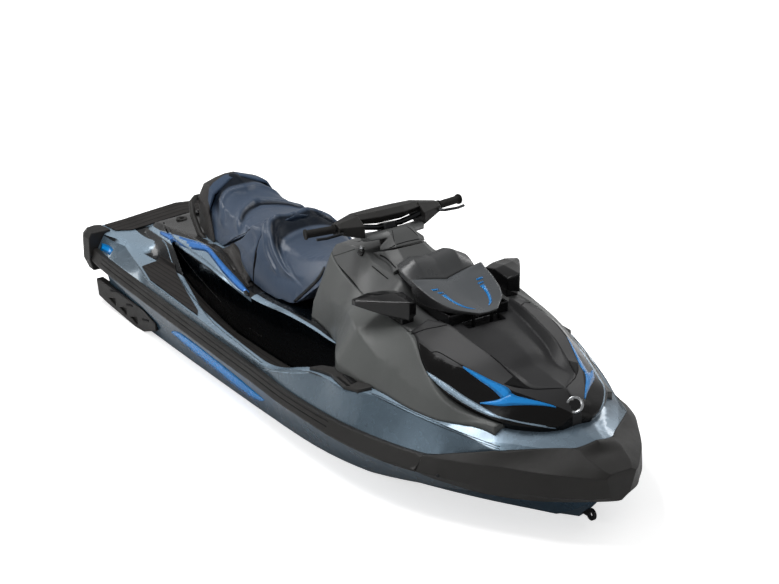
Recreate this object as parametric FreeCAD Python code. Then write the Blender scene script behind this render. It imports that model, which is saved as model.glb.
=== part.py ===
"""A three-seat personal watercraft, modelled as the real one is assembled.

Frame: +X to the bow, +Y to port, +Z up, in millimetres. The shapes below are written with
their height measured from the keel, and every piece is lowered by DRAFT when it is saved,
so that the saved parts have their origin on the water, amidships.

Long forms are skinned: each feature line (keel, chine, gunwale, shoulder and so on) is a
table of (x, half breadth, height), and neighbouring lines are joined by ruled strips, so
the creases of the mouldings stay crisp along their whole length.
"""

import FreeCAD, Part
import math
import os

Vector = FreeCAD.Vector

# Driving dimensions
LENGTH = 3437.0            # overall, stern bumpers to bow bumper
BOW_X = 1712.0
STERN_X = BOW_X - LENGTH
DRAFT = 260.0              # keel to waterline, empty
BOND_H = 470.0             # height of the joint between hull and deck
RAIL_BOTTOM_H = 447.0
RAIL_TOP_H = 506.0
RAIL_THICK = 26.0          # how far the rub rail stands out of the mouldings
TRANSOM_X = -1470.0        # lower hull ends here; the platform overhangs it
PLATFORM_END_X = -1690.0


# Feature lines

def monotone(table, x):
    """Value of each column of a table of (x, a, b) at x, by monotone cubic pieces."""
    rows = sorted(table)
    if x <= rows[0][0]:
        return rows[0][1:]
    if x >= rows[-1][0]:
        return rows[-1][1:]
    k = max(i for i in range(len(rows) - 1) if rows[i][0] <= x)
    out = []
    for c in range(1, len(rows[0])):
        slope = [
            (rows[i + 1][c] - rows[i][c]) / (rows[i + 1][0] - rows[i][0])
            for i in range(len(rows) - 1)
        ]

        def tangent(i):
            if i == 0:
                return slope[0]
            if i == len(rows) - 1:
                return slope[-1]
            if slope[i - 1] * slope[i] <= 0:
                return 0.0
            return 2 * slope[i - 1] * slope[i] / (slope[i - 1] + slope[i])

        step = rows[k + 1][0] - rows[k][0]
        t = (x - rows[k][0]) / step
        out.append(
            (2 * t**3 - 3 * t**2 + 1) * rows[k][c]
            + (t**3 - 2 * t**2 + t) * step * tangent(k)
            + (3 * t**2 - 2 * t**3) * rows[k + 1][c]
            + (t**3 - t**2) * step * tangent(k + 1)
        )
    return tuple(out)


def line_points(table, stations):
    points = []
    for x in stations:
        y, h = monotone(table, x)
        points.append(Vector(x, y, h))
    return points


def edge_through(points):
    curve = Part.BSplineCurve()
    first, last = points[0].x, points[-1].x
    curve.interpolate(Points=points, Parameters=[(p.x - first) / (last - first) for p in points])
    return curve.toShape()


def solid_of(faces):
    shell = Part.Compound(faces)
    shell.sewShape(0.01)
    solid = Part.Solid(shell.Shells[0])
    if solid.Volume < 0:
        solid.reverse()
    return solid


def skin(lines):
    """Closed solid from a ring of feature lines, each a list of points at the same stations."""
    edges = [edge_through(points) for points in lines]
    faces = []
    for i, edge in enumerate(edges):
        faces.append(Part.makeRuledSurface(edge, edges[(i + 1) % len(edges)]))
    for end in (0, -1):
        ring = [points[end] for points in lines]
        faces.append(Part.Face(Part.makePolygon(ring + [ring[0]])))
    return solid_of(faces)


def mirrored_ring(half):
    """Full ring from half-section lines given outer bottom first, centre top last."""
    port = [list(points) for points in half]
    starboard = [[Vector(p.x, -p.y, p.z) for p in points] for points in half]
    centre_last = all(abs(p.y) < 1e-6 for p in half[-1])
    centre_first = all(abs(p.y) < 1e-6 for p in half[0])
    back = starboard[::-1]
    if centre_last:
        back = back[1:]
    if centre_first:
        back = back[:-1]
    return port + back


def form(tables, stations):
    """Symmetrical skinned form from half-section tables."""
    return skin(mirrored_ring([line_points(t, stations) for t in tables]))


def span(first, last, count):
    return [first + (last - first) * i / (count - 1) for i in range(count)]


# Small helpers

def box(x0, x1, y0, y1, h0, h1):
    return Part.makeBox(x1 - x0, y1 - y0, h1 - h0, Vector(x0, y0, h0))


def tube_along(points, radius):
    """Round bar through points, with ball corners."""
    parts = []
    for a, b in zip(points, points[1:]):
        parts.append(Part.makeCylinder(radius, (b - a).Length, a, b - a))
    for p in points[1:-1]:
        parts.append(Part.makeSphere(radius, p))
    return parts[0].fuse(parts[1:]) if len(parts) > 1 else parts[0]


def prism(points, thickness):
    """Extrusion of a closed polygon by a vector."""
    return Part.Face(Part.makePolygon(list(points) + [points[0]])).extrude(thickness)


def side_prism(profile, y0, y1):
    """Extrusion across the craft of an (x, height) outline."""
    return prism([Vector(x, y0, h) for x, h in profile], Vector(0, y1 - y0, 0))


def plan_prism(profile, h0, h1):
    """Extrusion upward of an (x, y) outline."""
    return prism([Vector(x, y, h0) for x, y in profile], Vector(0, 0, h1 - h0))


def mirror_y(shape):
    return shape.mirror(Vector(0, 0, 0), Vector(0, 1, 0))


def largest(shape):
    return max(shape.Solids, key=lambda s: s.Volume)


def solids(shape):
    return [s for s in shape.Solids if s.Volume > 50.0]


def keep(shape):
    """The shape's real solids, without crumbs left by a cut."""
    kept = solids(shape)
    return kept[0] if len(kept) == 1 else Part.Compound(kept)


PIECES = {}


def save(name, shape):
    PIECES[name] = keep(shape)


# Hull

STRAKE_FLAT = 22.0
CHINE_FLAT = 32.0
HULL_STATIONS = span(TRANSOM_X, 1600.0, 17)
KEEL = [(-1470, 0, 0), (300, 0, 0), (600, 0, 8), (900, 0, 45), (1150, 0, 108), (1350, 0, 178),
        (1490, 0, 280), (1600, 0, 395)]
STRAKE = [(-1470, 215, 76), (0, 225, 80), (600, 215, 92), (900, 185, 130), (1150, 130, 185),
          (1350, 70, 235), (1490, 25, 310), (1600, 8, 398)]
CHINE = [(-1470, 445, 215), (-600, 478, 222), (0, 490, 220), (320, 485, 215), (560, 468, 240),
         (760, 440, 270), (960, 385, 300), (1200, 285, 335), (1400, 165, 370), (1600, 20, 402)]
RAIL_PLAN = [(-1690, 482, 0), (-1640, 494, 0), (-1540, 510, 0), (-1400, 524, 0), (-1000, 550, 0),
             (-500, 580, 0), (0, 606, 0), (350, 626, 0), (600, 626, 0), (750, 615, 0), (900, 590, 0),
             (1000, 563, 0), (1118, 518, 0), (1200, 463, 0), (1300, 410, 0), (1400, 346, 0),
             (1500, 272, 0), (1600, 180, 0), (1650, 110, 0)]
RAIL_LEAN = [(-1700, 12), (425, 13), (745, 32), (1005, 42), (1650, 42)]   # top edge inboard of the foot


def side_table(inset, height, lean=0.0):
    """A line that follows the rub rail's plan at one height, inset by a length plus a share of the lean."""
    line = []
    for x, y, _ in RAIL_PLAN:
        line.append((x, max(y - inset - lean * monotone(RAIL_LEAN, x)[0], 12), height))
    return line


def shifted(table, dy, dh=0.0):
    return [(x, max(y + dy, 0.0), h + dh) for x, y, h in table]


def hull_form():
    lower = shifted(CHINE, -CHINE_FLAT)
    lower = [(x, max(y, 12), h) for x, y, h in lower]
    return form(
        [KEEL, STRAKE, shifted(STRAKE, STRAKE_FLAT * 0.5), lower, CHINE,
         side_table(RAIL_THICK, RAIL_BOTTOM_H - 10), side_table(RAIL_THICK, BOND_H, 0.3)],
        HULL_STATIONS,
    )


# Deck

DECK_STATIONS = [PLATFORM_END_X, -1640, -1590, -1540, -1500, -1460, -1400, -1300, -1200, -1050, -900, -780,
                 -650, -500, -350, -200, -50, 80, 180, 290, 400, 540, 670, 780, 900, 1020, 1150, 1280,
                 1366, 1461, 1550]
SHOULDER = [(-1690, 450, 575), (-1609, 425, 568), (-1517, 395, 558), (-1459, 398, 545), (-1213, 454, 531),
            (-1048, 500, 530), (-712, 524, 530), (-216, 560, 530), (69, 576, 532), (141, 577, 541),
            (250, 572, 580), (398, 556, 622), (542, 552, 634), (672, 556, 636), (740, 530, 648),
            (827, 495, 652), (927, 468, 640), (1021, 440, 626), (1151, 390, 616), (1282, 344, 592),
            (1366, 311, 585), (1461, 194, 597), (1550, 90, 604)]
SHELF_IN = [(-1690, 425, 582), (-1609, 405, 575), (-1517, 372, 568), (-1400, 372, 552), (-1200, 345, 534),
            (-900, 340, 531), (-500, 335, 531), (0, 330, 531), (141, 330, 542), (250, 345, 581),
            (398, 400, 624), (542, 470, 642), (672, 500, 648), (740, 478, 662), (827, 460, 656),
            (927, 430, 646), (1021, 395, 636), (1151, 345, 632), (1282, 270, 634), (1366, 190, 632),
            (1461, 120, 622), (1550, 60, 606)]
PED_LOW = [(-1690, 280, 592), (-1545, 255, 578), (-1480, 268, 572), (-1300, 300, 590), (-1200, 308, 605),
           (-900, 318, 615), (-600, 328, 609), (-400, 322, 604), (-200, 305, 612), (0, 300, 618),
           (200, 305, 605), (398, 380, 640), (542, 440, 655), (827, 430, 660), (1021, 360, 642),
           (1151, 310, 638), (1282, 225, 640), (1366, 150, 636), (1461, 90, 626), (1550, 50, 608)]
PED_TOP = [(-1690, 200, 600), (-1545, 205, 588), (-1480, 212, 628), (-1400, 222, 640), (-1250, 240, 662),
           (-1050, 262, 690), (-900, 270, 702), (-800, 272, 702), (-700, 276, 675), (-500, 292, 622),
           (-400, 300, 615), (-200, 285, 625), (0, 272, 630), (200, 275, 615), (398, 330, 645),
           (542, 380, 658), (827, 360, 664), (1021, 300, 648), (1151, 250, 642), (1282, 190, 644),
           (1366, 120, 640), (1461, 70, 630), (1550, 40, 610)]
DECK_MID = [(-1690, 0, 618), (-1545, 0, 606), (-1480, 0, 640), (-1250, 0, 664), (-900, 0, 680),
            (-400, 0, 620), (200, 0, 620), (1021, 0, 650), (1151, 0, 650), (1282, 0, 650),
            (1366, 0, 648), (1461, 0, 636), (1550, 0, 612)]


def deck_form():
    return form(
        [side_table(RAIL_THICK, BOND_H, 0.3), side_table(RAIL_THICK, RAIL_TOP_H, 0.9), SHOULDER, SHELF_IN,
         PED_LOW, PED_TOP, DECK_MID],
        DECK_STATIONS,
    )


# Footwells: a pocket each side, deep in front and rising to the platform

WELL_STATIONS = span(-1430.0, 470.0, 20)
WELL_OUT_TOP = [(-1430, 205, 640), (-1259, 272, 640), (-1020, 352, 640), (-812, 420, 640),
                (-601, 487, 640), (-514, 502, 640), (-155, 545, 640), (52, 560, 640),
                (250, 552, 700), (470, 505, 720)]
WELL_OUT_LOW = [(-1430, 200, 560), (-1259, 250, 500), (-1020, 318, 430), (-812, 380, 390),
                (-601, 440, 365), (-155, 490, 355), (52, 500, 355), (250, 490, 370),
                (470, 440, 490)]
WELL_IN_LOW = [(-1430, 195, 560), (-1259, 245, 500), (-1020, 262, 430), (-812, 272, 390),
               (-601, 280, 365), (-155, 275, 355), (52, 270, 355), (250, 268, 370),
               (470, 290, 490)]
WELL_IN_TOP = [(-1430, 198, 640), (-1259, 262, 640), (-1020, 305, 640), (-812, 318, 640),
               (-601, 326, 640), (-400, 322, 640), (-155, 302, 640), (52, 300, 640),
               (250, 302, 700), (470, 330, 720)]
LINER_WALL = 12.0


def well_form(wall):
    """Starboard footwell volume, grown by wall."""
    lines = []
    for table, dy, dh in (
        (WELL_OUT_TOP, wall, 0.0),
        (WELL_OUT_LOW, wall, -wall),
        (WELL_IN_LOW, -wall, -wall),
        (WELL_IN_TOP, -wall, 0.0),
    ):
        points = line_points(table, WELL_STATIONS)
        lines.append([Vector(p.x, -(p.y + dy), p.z + dh) for p in points])
    return skin(lines)


def make_hull_and_deck():
    """Hull and deck mouldings; the footwells are pockets of the deck let into the hull."""
    hull = hull_form()
    deck = deck_form()
    well = well_form(0.0)
    sleeve = well_form(LINER_WALL)
    below_bond = box(STERN_X, BOW_X, -1000, 1000, 0, BOND_H)
    pocket = sleeve.common(below_bond)
    deck = deck.fuse([pocket, mirror_y(pocket)]).cut([well, mirror_y(well)])
    hull = hull.cut([sleeve, mirror_y(sleeve)])
    return hull, deck


# Jet pump, steering nozzle, reverse bucket

TUNNEL_HALF = 150.0
TUNNEL_TOP_H = 300.0
TUNNEL_FRONT_X = -1060.0
INTAKE_FRONT_X = -560.0
INTAKE_HALF = 95.0
ENGINE_X = (-520.0, 250.0)
ENGINE_HALF = 205.0
ENGINE_H = (110.0, 500.0)

PUMP_H = 165.0             # height of the pump's shaft
PUMP_R = 92.0
PUMP_WALL = 8.0
PUMP_END_X = -1400.0
VENTURI_R = 58.0
VENTURI_END_X = -1505.0
FIT = 0.3                  # running clearance at pins and shafts
SHAFT_R = 12.0
IMPELLER_X = -1290.0
TIP_GAP = 2.0
NOZZLE_PIVOT_X = -1500.0
NOZZLE_R = 84.0
NOZZLE_END_R = 62.0
NOZZLE_LEN = 120.0
NOZZLE_WALL = 7.0
BUCKET_X = -1500.0
BUCKET_H = 200.0
BUCKET_R = 172.0
BUCKET_WALL = 7.0
BUCKET_HALF = 113.0
PIN_R = 8.0


def bar_x(x0, x1, radius, height=PUMP_H):
    return Part.makeCylinder(radius, x1 - x0, Vector(x0, 0, height), Vector(1, 0, 0))


def bar_y(x, height, y0, y1, radius):
    return Part.makeCylinder(radius, y1 - y0, Vector(x, y0, height), Vector(0, 1, 0))


def tunnel_cut():
    """Pump tunnel, the water intake ahead of it and the bore for the shaft."""
    tunnel = box(TRANSOM_X - 10, TUNNEL_FRONT_X, -TUNNEL_HALF, TUNNEL_HALF, -10, TUNNEL_TOP_H)
    ramp = side_prism(
        [(TUNNEL_FRONT_X - 1, 240), (TUNNEL_FRONT_X - 1, -10), (INTAKE_FRONT_X, -10)],
        -INTAKE_HALF, INTAKE_HALF,
    )
    return tunnel.fuse(ramp).fuse(bar_x(TUNNEL_FRONT_X, ENGINE_X[0] + 1, SHAFT_R + FIT))


RIDE_PLATE_T = 12.0
RIDE_PLATE_END_X = -1525.0


def v_plate(x0, x1, half, low_centre, low_edge, thick):
    outline = [(-half, low_edge), (0, low_centre), (half, low_edge), (half, low_edge + thick),
               (0, low_centre + thick), (-half, low_edge + thick)]
    points = [Vector(x0, y, h) for y, h in outline]
    return prism(points, Vector(x1 - x0, 0, 0))


def make_ride_plate():
    plate = v_plate(RIDE_PLATE_END_X, TUNNEL_FRONT_X, TUNNEL_HALF, 14, 52, RIDE_PLATE_T)
    return plate


GRATE_FRONT_X = -716.0


def make_grate():
    """Intake grate: three long bars on two cross bars that follow the vee of the bottom."""
    low, edge = 8.0, 42.0
    cross = [v_plate(x, x + 16, INTAKE_HALF, low, edge, 12) for x in (GRATE_FRONT_X, TUNNEL_FRONT_X)]
    bars = []
    for y in (-45, 0, 45):
        h = low + (edge - low) * abs(y) / INTAKE_HALF
        bars.append(box(TUNNEL_FRONT_X, GRATE_FRONT_X + 12, y - 5, y + 5, h, h + 22))
    return cross[0].fuse(cross[1:] + bars)


def make_pump():
    front = TUNNEL_FRONT_X
    inner = PUMP_R - PUMP_WALL
    shell = bar_x(PUMP_END_X, front, PUMP_R)
    for x in (PUMP_END_X, -1230.0, front - 12):
        shell = shell.fuse(bar_x(x, x + 12, PUMP_R + 9))
    foot = box(PUMP_END_X + 10, front - 10, -45, 45, PUMP_H, TUNNEL_TOP_H)
    shoe = box(PUMP_END_X + 10, front - 10, -30, 30, 14 + RIDE_PLATE_T, PUMP_H)
    shoe = shoe.cut(v_plate(-1500, -1000, TUNNEL_HALF, 14, 52, RIDE_PLATE_T))
    cone = Part.makeCone(PUMP_R, VENTURI_R, 60, Vector(PUMP_END_X, 0, PUMP_H), Vector(-1, 0, 0))
    pipe = bar_x(VENTURI_END_X, PUMP_END_X - 59, VENTURI_R)
    tongues = box(NOZZLE_PIVOT_X - 14, PUMP_END_X + 6, -14, 14,
                  PUMP_H + NOZZLE_R + 6, PUMP_H + NOZZLE_R + 15)
    tongues = tongues.fuse(box(NOZZLE_PIVOT_X - 14, PUMP_END_X + 6, -14, 14,
                               PUMP_H - NOZZLE_R - 15, PUMP_H - NOZZLE_R - 6))
    outside = shell.fuse([foot, shoe, cone, pipe, tongues])
    bore = bar_x(PUMP_END_X, front + 1, inner)
    throat = Part.makeCone(inner, VENTURI_R - 6, 60, Vector(PUMP_END_X, 0, PUMP_H), Vector(-1, 0, 0))
    outlet = bar_x(VENTURI_END_X - 1, PUMP_END_X - 59, VENTURI_R - 6)
    pump = outside.cut(bore.fuse([throat, outlet]))
    for s in (1, -1):
        pin = Part.makeCylinder(PIN_R - 1, 22, Vector(NOZZLE_PIVOT_X, 0, PUMP_H + s * (NOZZLE_R - 8)),
                                Vector(0, 0, s))
        pump = pump.fuse(pin)
    hub_x = IMPELLER_X - 45 - FIT
    hub = Part.makeCone(28, 8, 120, Vector(hub_x, 0, PUMP_H), Vector(-1, 0, 0))
    vanes = hub
    for k in range(7):
        vane = box(hub_x - 62, hub_x - 6, -2, 2, PUMP_H + 14, PUMP_H + inner + 3)
        vane.rotate(Vector(0, 0, PUMP_H), Vector(1, 0, 0), 360.0 * k / 7)
        vanes = vanes.fuse(vane)
    pump = pump.fuse(vanes)
    ear_in, ear_out = BUCKET_HALF - 21, BUCKET_HALF - 13
    ear = side_prism([(PUMP_END_X + 12, PUMP_H - 12), (PUMP_END_X + 12, PUMP_H + 60),
                      (BUCKET_X + 4, BUCKET_H + 18), (BUCKET_X - 16, BUCKET_H + 8),
                      (BUCKET_X - 16, BUCKET_H - 8), (BUCKET_X + 4, BUCKET_H - 18)], ear_in, ear_out)
    ear = ear.fuse(box(PUMP_END_X, PUMP_END_X + 12, 60, ear_out, PUMP_H - 12, PUMP_H + 60))
    ear = ear.cut(bar_x(-1800, 0, PUMP_R))
    pin = bar_y(BUCKET_X, BUCKET_H, ear_in, BUCKET_HALF + 2, PIN_R)
    ears = ear.fuse(pin)
    return pump.fuse(ears).fuse(mirror_y(ears))


def make_impeller():
    """Four raked blades on a hub, with the shaft that runs forward to the engine."""
    hub = bar_x(IMPELLER_X - 45, IMPELLER_X + 45, 28)
    shaft = bar_x(IMPELLER_X + 40, ENGINE_X[0] - FIT, SHAFT_R)
    rotor = hub.fuse(shaft)
    tip = PUMP_R - PUMP_WALL - TIP_GAP
    sleeve = Part.makeCylinder(tip, 200, Vector(-100, 0, 0), Vector(1, 0, 0))
    for k in range(4):
        blade = Part.makeBox(5, 60, tip - 20, Vector(-2.5, -30, 22))
        blade.rotate(Vector(0, 0, 0), Vector(0, 0, 1), 52)
        blade = blade.common(sleeve)
        blade.translate(Vector(IMPELLER_X, 0, PUMP_H))
        blade.rotate(Vector(IMPELLER_X, 0, PUMP_H), Vector(1, 0, 0), 45 + 90.0 * k)
        rotor = rotor.fuse(blade)
    return rotor


def make_nozzle():
    front = NOZZLE_PIVOT_X + 10
    aft = Vector(-1, 0, 0)
    outer = Part.makeCone(NOZZLE_R, NOZZLE_END_R, NOZZLE_LEN, Vector(front, 0, PUMP_H), aft)
    inner = Part.makeCone(NOZZLE_R - NOZZLE_WALL, NOZZLE_END_R - NOZZLE_WALL, NOZZLE_LEN,
                          Vector(front, 0, PUMP_H), aft)
    boss_h = NOZZLE_R + 6 - FIT
    boss = Part.makeCylinder(18, 2 * boss_h, Vector(NOZZLE_PIVOT_X, 0, PUMP_H - boss_h))
    boss = boss.common(box(front - 40, front, -40, 40, 0, 400))
    arm = box(NOZZLE_PIVOT_X - 60, NOZZLE_PIVOT_X - 30, NOZZLE_R - 26, NOZZLE_R + 8,
              PUMP_H - 6, PUMP_H + 6)
    body = outer.fuse([boss, arm]).cut(inner)
    pin_bore = Part.makeCylinder(PIN_R - 1 + FIT, 400, Vector(NOZZLE_PIVOT_X, 0, 0))
    clear_pin = bar_x(NOZZLE_PIVOT_X - 40, front + 1, NOZZLE_R - NOZZLE_WALL - 3)
    return body.cut(pin_bore).cut(clear_pin)


def make_bucket():
    """Reverse bucket: a curved gate between two side plates, stowed above the jet."""
    def sector(radius, y0, y1, a0, a1):
        points = [Vector(BUCKET_X, y0, BUCKET_H)]
        arc = []
        for k in range(3):
            a = math.radians(a0 + (a1 - a0) * k / 2)
            arc.append(Vector(BUCKET_X + radius * math.cos(a), y0, BUCKET_H + radius * math.sin(a)))
        wire = Part.Wire([
            Part.LineSegment(points[0], arc[0]).toShape(),
            Part.Arc(arc[0], arc[1], arc[2]).toShape(),
            Part.LineSegment(arc[2], points[0]).toShape(),
        ])
        return Part.Face(wire).extrude(Vector(0, y1 - y0, 0))

    gate = sector(BUCKET_R, -BUCKET_HALF, BUCKET_HALF, 95, 160)
    inside = sector(BUCKET_R - BUCKET_WALL, -BUCKET_HALF + BUCKET_WALL, BUCKET_HALF - BUCKET_WALL, 60, 200)
    gate = gate.cut(inside)
    window = sector(BUCKET_R - 35, -BUCKET_HALF - 1, BUCKET_HALF + 1, 108, 147)
    gate = gate.cut(window.cut(bar_y(BUCKET_X, BUCKET_H, -BUCKET_HALF - 1, BUCKET_HALF + 1, 60)))
    for s in (1, -1):
        low, high = sorted((s * (BUCKET_HALF - 13 + FIT), s * BUCKET_HALF))
        gate = gate.fuse(bar_y(BUCKET_X, BUCKET_H, low, high, 22))
    return gate.cut(bar_y(BUCKET_X, BUCKET_H, -200, 200, PIN_R + FIT))


# Boarding ladder

LADDER_X = -1490.0
LADDER_H = 250.0
LADDER_R = 265.0
LADDER_HALF = 190.0
LADDER_TUBE = 11.0
LADDER_STOW = 138.0        # degrees from the bow, upward, when folded
LEG_T = 9.0


def make_ladder():
    a = math.radians(LADDER_STOW)
    end = Vector(LADDER_X + LADDER_R * math.cos(a), 0, LADDER_H + LADDER_R * math.sin(a))
    along = Vector(math.cos(a), 0, math.sin(a))
    across = Vector(-math.sin(a), 0, math.cos(a))
    pivot = Vector(LADDER_X, 0, LADDER_H)
    loop = bar_y(end.x, end.z, -LADDER_HALF - LEG_T / 2, LADDER_HALF + LEG_T / 2, LADDER_TUBE)
    for s in (1, -1):
        y0 = s * LADDER_HALF - LEG_T / 2
        base = [pivot + across * 10, end + across * 10, end - across * 10, pivot - across * 10]
        leg = prism([Vector(p.x, y0, p.z) for p in base], Vector(0, LEG_T, 0))
        eye = bar_y(LADDER_X, LADDER_H, y0, y0 + LEG_T, 17)
        loop = loop.fuse([leg, eye])
    tread = box(-26, 26, -LADDER_HALF + 20, LADDER_HALF - 20, -4, 4)
    tread.rotate(Vector(0, 0, 0), Vector(0, 1, 0), -LADDER_STOW)
    tread.translate(Vector(end.x, 0, end.z) - along * 22)
    loop = loop.fuse(tread)
    return loop.cut(bar_y(LADDER_X, LADDER_H, -300, 300, PIN_R + FIT))


def make_ladder_brackets():
    cheeks = []
    for s in (1, -1):
        for side in (1, -1):
            gap = side * (LEG_T / 2 + FIT)
            y_in, y_out = sorted((s * LADDER_HALF + gap, s * LADDER_HALF + gap + side * 8))
            cheek = side_prism([(TRANSOM_X, LADDER_H - 26), (TRANSOM_X, LADDER_H + 26),
                                (LADDER_X - 12, LADDER_H + 12), (LADDER_X - 12, LADDER_H - 12)],
                               y_in, y_out)
            cheeks.append(cheek)
        reach = LEG_T / 2 + FIT + 8
        cheeks.append(bar_y(LADDER_X, LADDER_H, s * LADDER_HALF - reach, s * LADDER_HALF + reach, PIN_R))
    return cheeks[0].fuse(cheeks[1:])


# Rub rail and bumpers

def make_rail(hull, deck):
    stations = span(-1612.0, 1105.0, 20)
    lines = []
    for inset, height, lean in ((RAIL_THICK + 16, RAIL_BOTTOM_H, 0.0), (3, RAIL_BOTTOM_H, 0.0),
                                (0, RAIL_BOTTOM_H + 9, 0.0), (2, RAIL_BOTTOM_H + 30, 0.4),
                                (2, RAIL_TOP_H - 9, 0.8), (3, RAIL_TOP_H, 1.0),
                                (RAIL_THICK + 16, RAIL_TOP_H, 1.0)):
        points = line_points(side_table(inset, height, lean), stations)
        lines.append([Vector(p.x, -p.y, p.z) for p in points])
    return largest(skin(lines).cut(hull).cut(deck))


BUMPER_STATIONS = [1105, 1140, 1200, 1260, 1337, 1403, 1470, 1525, 1550, 1600, 1640, 1685, BOW_X]
BUMPER_LOW = [(1045, 500, 422), (1180, 455, 420), (1306, 404, 418), (1411, 339, 416), (1523, 237, 414),
              (1615, 117, 414), (1658, 55, 416), (BOW_X, 8, 430)]
BUMPER_FACE = [(1045, 545, 452), (1105, 522, 450), (1178, 482, 450), (1260, 440, 448), (1337, 392, 446),
               (1403, 346, 445), (1563, 232, 446), (1640, 152, 448), (1685, 100, 450), (BOW_X, 45, 455)]
BUMPER_CREASE = [(1045, 512, 505), (1103, 487, 505), (1200, 450, 518), (1337, 384, 532),
                 (1403, 339, 537), (1563, 225, 538), (1671, 120, 536), (1698, 93, 537), (BOW_X, 72, 537)]
BUMPER_TOP = [(1045, 490, 506), (1103, 480, 509), (1200, 425, 536), (1302, 358, 566), (1366, 311, 586),
              (1461, 194, 599), (1525, 118, 606), (1550, 98, 606), (1600, 88, 592), (1685, 68, 562),
              (BOW_X, 50, 550)]
BUMPER_MID = [(1045, 0, 480), (1178, 0, 490), (1326, 0, 500), (1480, 0, 530), (1525, 0, 560),
              (1550, 0, 614), (1600, 0, 594), (1685, 0, 562), (BOW_X, 0, 551)]


def make_bumper(hull, deck):
    blank = form([BUMPER_LOW, BUMPER_FACE, BUMPER_CREASE, BUMPER_TOP, BUMPER_MID], BUMPER_STATIONS)
    return largest(blank.cut(hull).cut(deck))


STERN_CORNER = [(-1612, -508), (-1680, -505), (STERN_X + 10, -485), (STERN_X, -440), (STERN_X + 13, -400),
                (-1660, -392), (-1612, -392)]
STERN_BUMPER_H = (398.0, 450.0, 560.0, 586.0)


def make_stern_bumper(deck, rail):
    """Corner bumper: the plan outline drawn in a little at its foot and at its top."""
    rings = []
    for height, shrink in zip(STERN_BUMPER_H, (18, 0, 0, 14)):
        ring = []
        for x, y in STERN_CORNER:
            forward = x > -1620
            ring.append(Vector(x if forward else x + shrink, y + shrink if y < -430 else y, height))
        rings.append(Part.makePolygon(ring + [ring[0]]))
    block = Part.makeLoft(rings, True, True)
    return largest(block.cut(deck).cut(rail))


# Sponsons

SPONSON = [(-1560, 380), (-1540, 300), (-1450, 285), (-1180, 258), (-1100, 262), (-985, 305), (-985, 340),
           (-1100, 372)]
SPONSON_OUT = 506.0


def make_sponson(hull, rails):
    """Side sponson with its three raked recesses."""
    blank = side_prism(SPONSON, -SPONSON_OUT, -430).cut(box(-1700, TRANSOM_X, -470, 0, 0, 500))
    recesses = []
    for x, h in ((-1440, 318), (-1335, 306), (-1230, 294)):
        recesses.append(side_prism([(x, h), (x + 72, h - 20), (x + 72, h + 22)], -SPONSON_OUT - 1,
                                   -SPONSON_OUT + 12))
    return largest(blank.cut(hull).cut(rails).cut(recesses))


# Mats

MAT_T = 6.0


def raised(shape, height):
    copy = shape.copy()
    copy.translate(Vector(0, 0, height))
    return copy


def make_mats(deck):
    """Grip mats, each following the moulding that it is bonded to."""
    layer = raised(deck, MAT_T).cut(deck)
    gunwale = plan_prism([(-1240, -275), (-1213, -440), (-1048, -488), (-712, -512), (-560, -522),
                          (-601, -496), (-812, -430), (-1020, -362)], 500, 560)
    platform = plan_prism([(-1680, -386), (-1680, 386), (-1600, 370), (-1562, 300), (-1556, 0),
                           (-1562, -300), (-1600, -370)], 500, 640)
    floor = plan_prism([(-1150, 276), (-1020, 312), (-812, 374), (-601, 434), (-155, 484),
                        (50, 494), (50, 276), (-155, 281), (-601, 286), (-812, 278),
                        (-1020, 268), (-1150, 258)], 300, 520)
    well = mirror_y(well_form(0.0))
    sole = well.cut(raised(well, MAT_T)).common(floor)
    return mirror_y(largest(layer.common(gunwale))), layer.common(platform), largest(sole)


# Upper body

UPPER_STATIONS = span(-60.0, 1300.0, 20)
PANEL_LOW = [(-60, 245, 640), (0, 252, 655), (150, 278, 672), (250, 320, 690), (350, 385, 700),
             (430, 445, 700), (519, 490, 690), (612, 492, 680), (742, 482, 665), (913, 457, 645),
             (1009, 429, 632), (1076, 405, 630), (1149, 363, 634), (1241, 313, 648), (1300, 290, 650)]
PANEL_MID = [(-60, 235, 700), (0, 238, 740), (150, 262, 770), (250, 290, 785), (350, 330, 805),
             (430, 366, 820), (498, 398, 822), (612, 420, 790), (742, 430, 752), (913, 412, 706),
             (1009, 396, 680), (1076, 380, 664), (1149, 345, 655), (1241, 300, 654), (1300, 280, 652)]
PANEL_SEAM = [(-60, 142, 905), (20, 168, 883), (170, 205, 866), (380, 258, 867), (600, 288, 862),
              (758, 304, 848), (922, 346, 762), (1050, 362, 700), (1149, 335, 668), (1235, 295, 660),
              (1300, 275, 655)]
PANEL_IN = [(-60, 0, 850), (20, 0, 850), (170, 0, 850), (750, 0, 835), (920, 0, 750), (1070, 0, 690),
            (1300, 0, 650)]
RIDGE = [(-60, 118, 935), (13, 125, 966), (120, 134, 983), (200, 140, 988), (240, 145, 972),
         (422, 150, 951), (493, 155, 939), (536, 165, 892), (740, 215, 852)]
CONSOLE_TOP = [(-60, 0, 945), (13, 0, 970), (120, 0, 990), (200, 0, 998), (240, 0, 980),
               (422, 0, 956), (493, 0, 941), (536, 0, 893), (740, 0, 860)]
CONSOLE_STATIONS = [-60, -20, 13, 60, 120, 170, 200, 240, 300, 370, 422, 493, 515, 536, 600, 670, 740]
BIN_X = (560.0, 800.0)
BIN_HALF = 140.0
BIN_FLOOR_H = 560.0
BIN_WALL = 5.0
BIN_RIM_H = 905.0


def bin_block(grow=0.0):
    return box(BIN_X[0] - grow, BIN_X[1] + grow, -BIN_HALF - grow, BIN_HALF + grow,
               BIN_FLOOR_H - grow, 1100)


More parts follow.
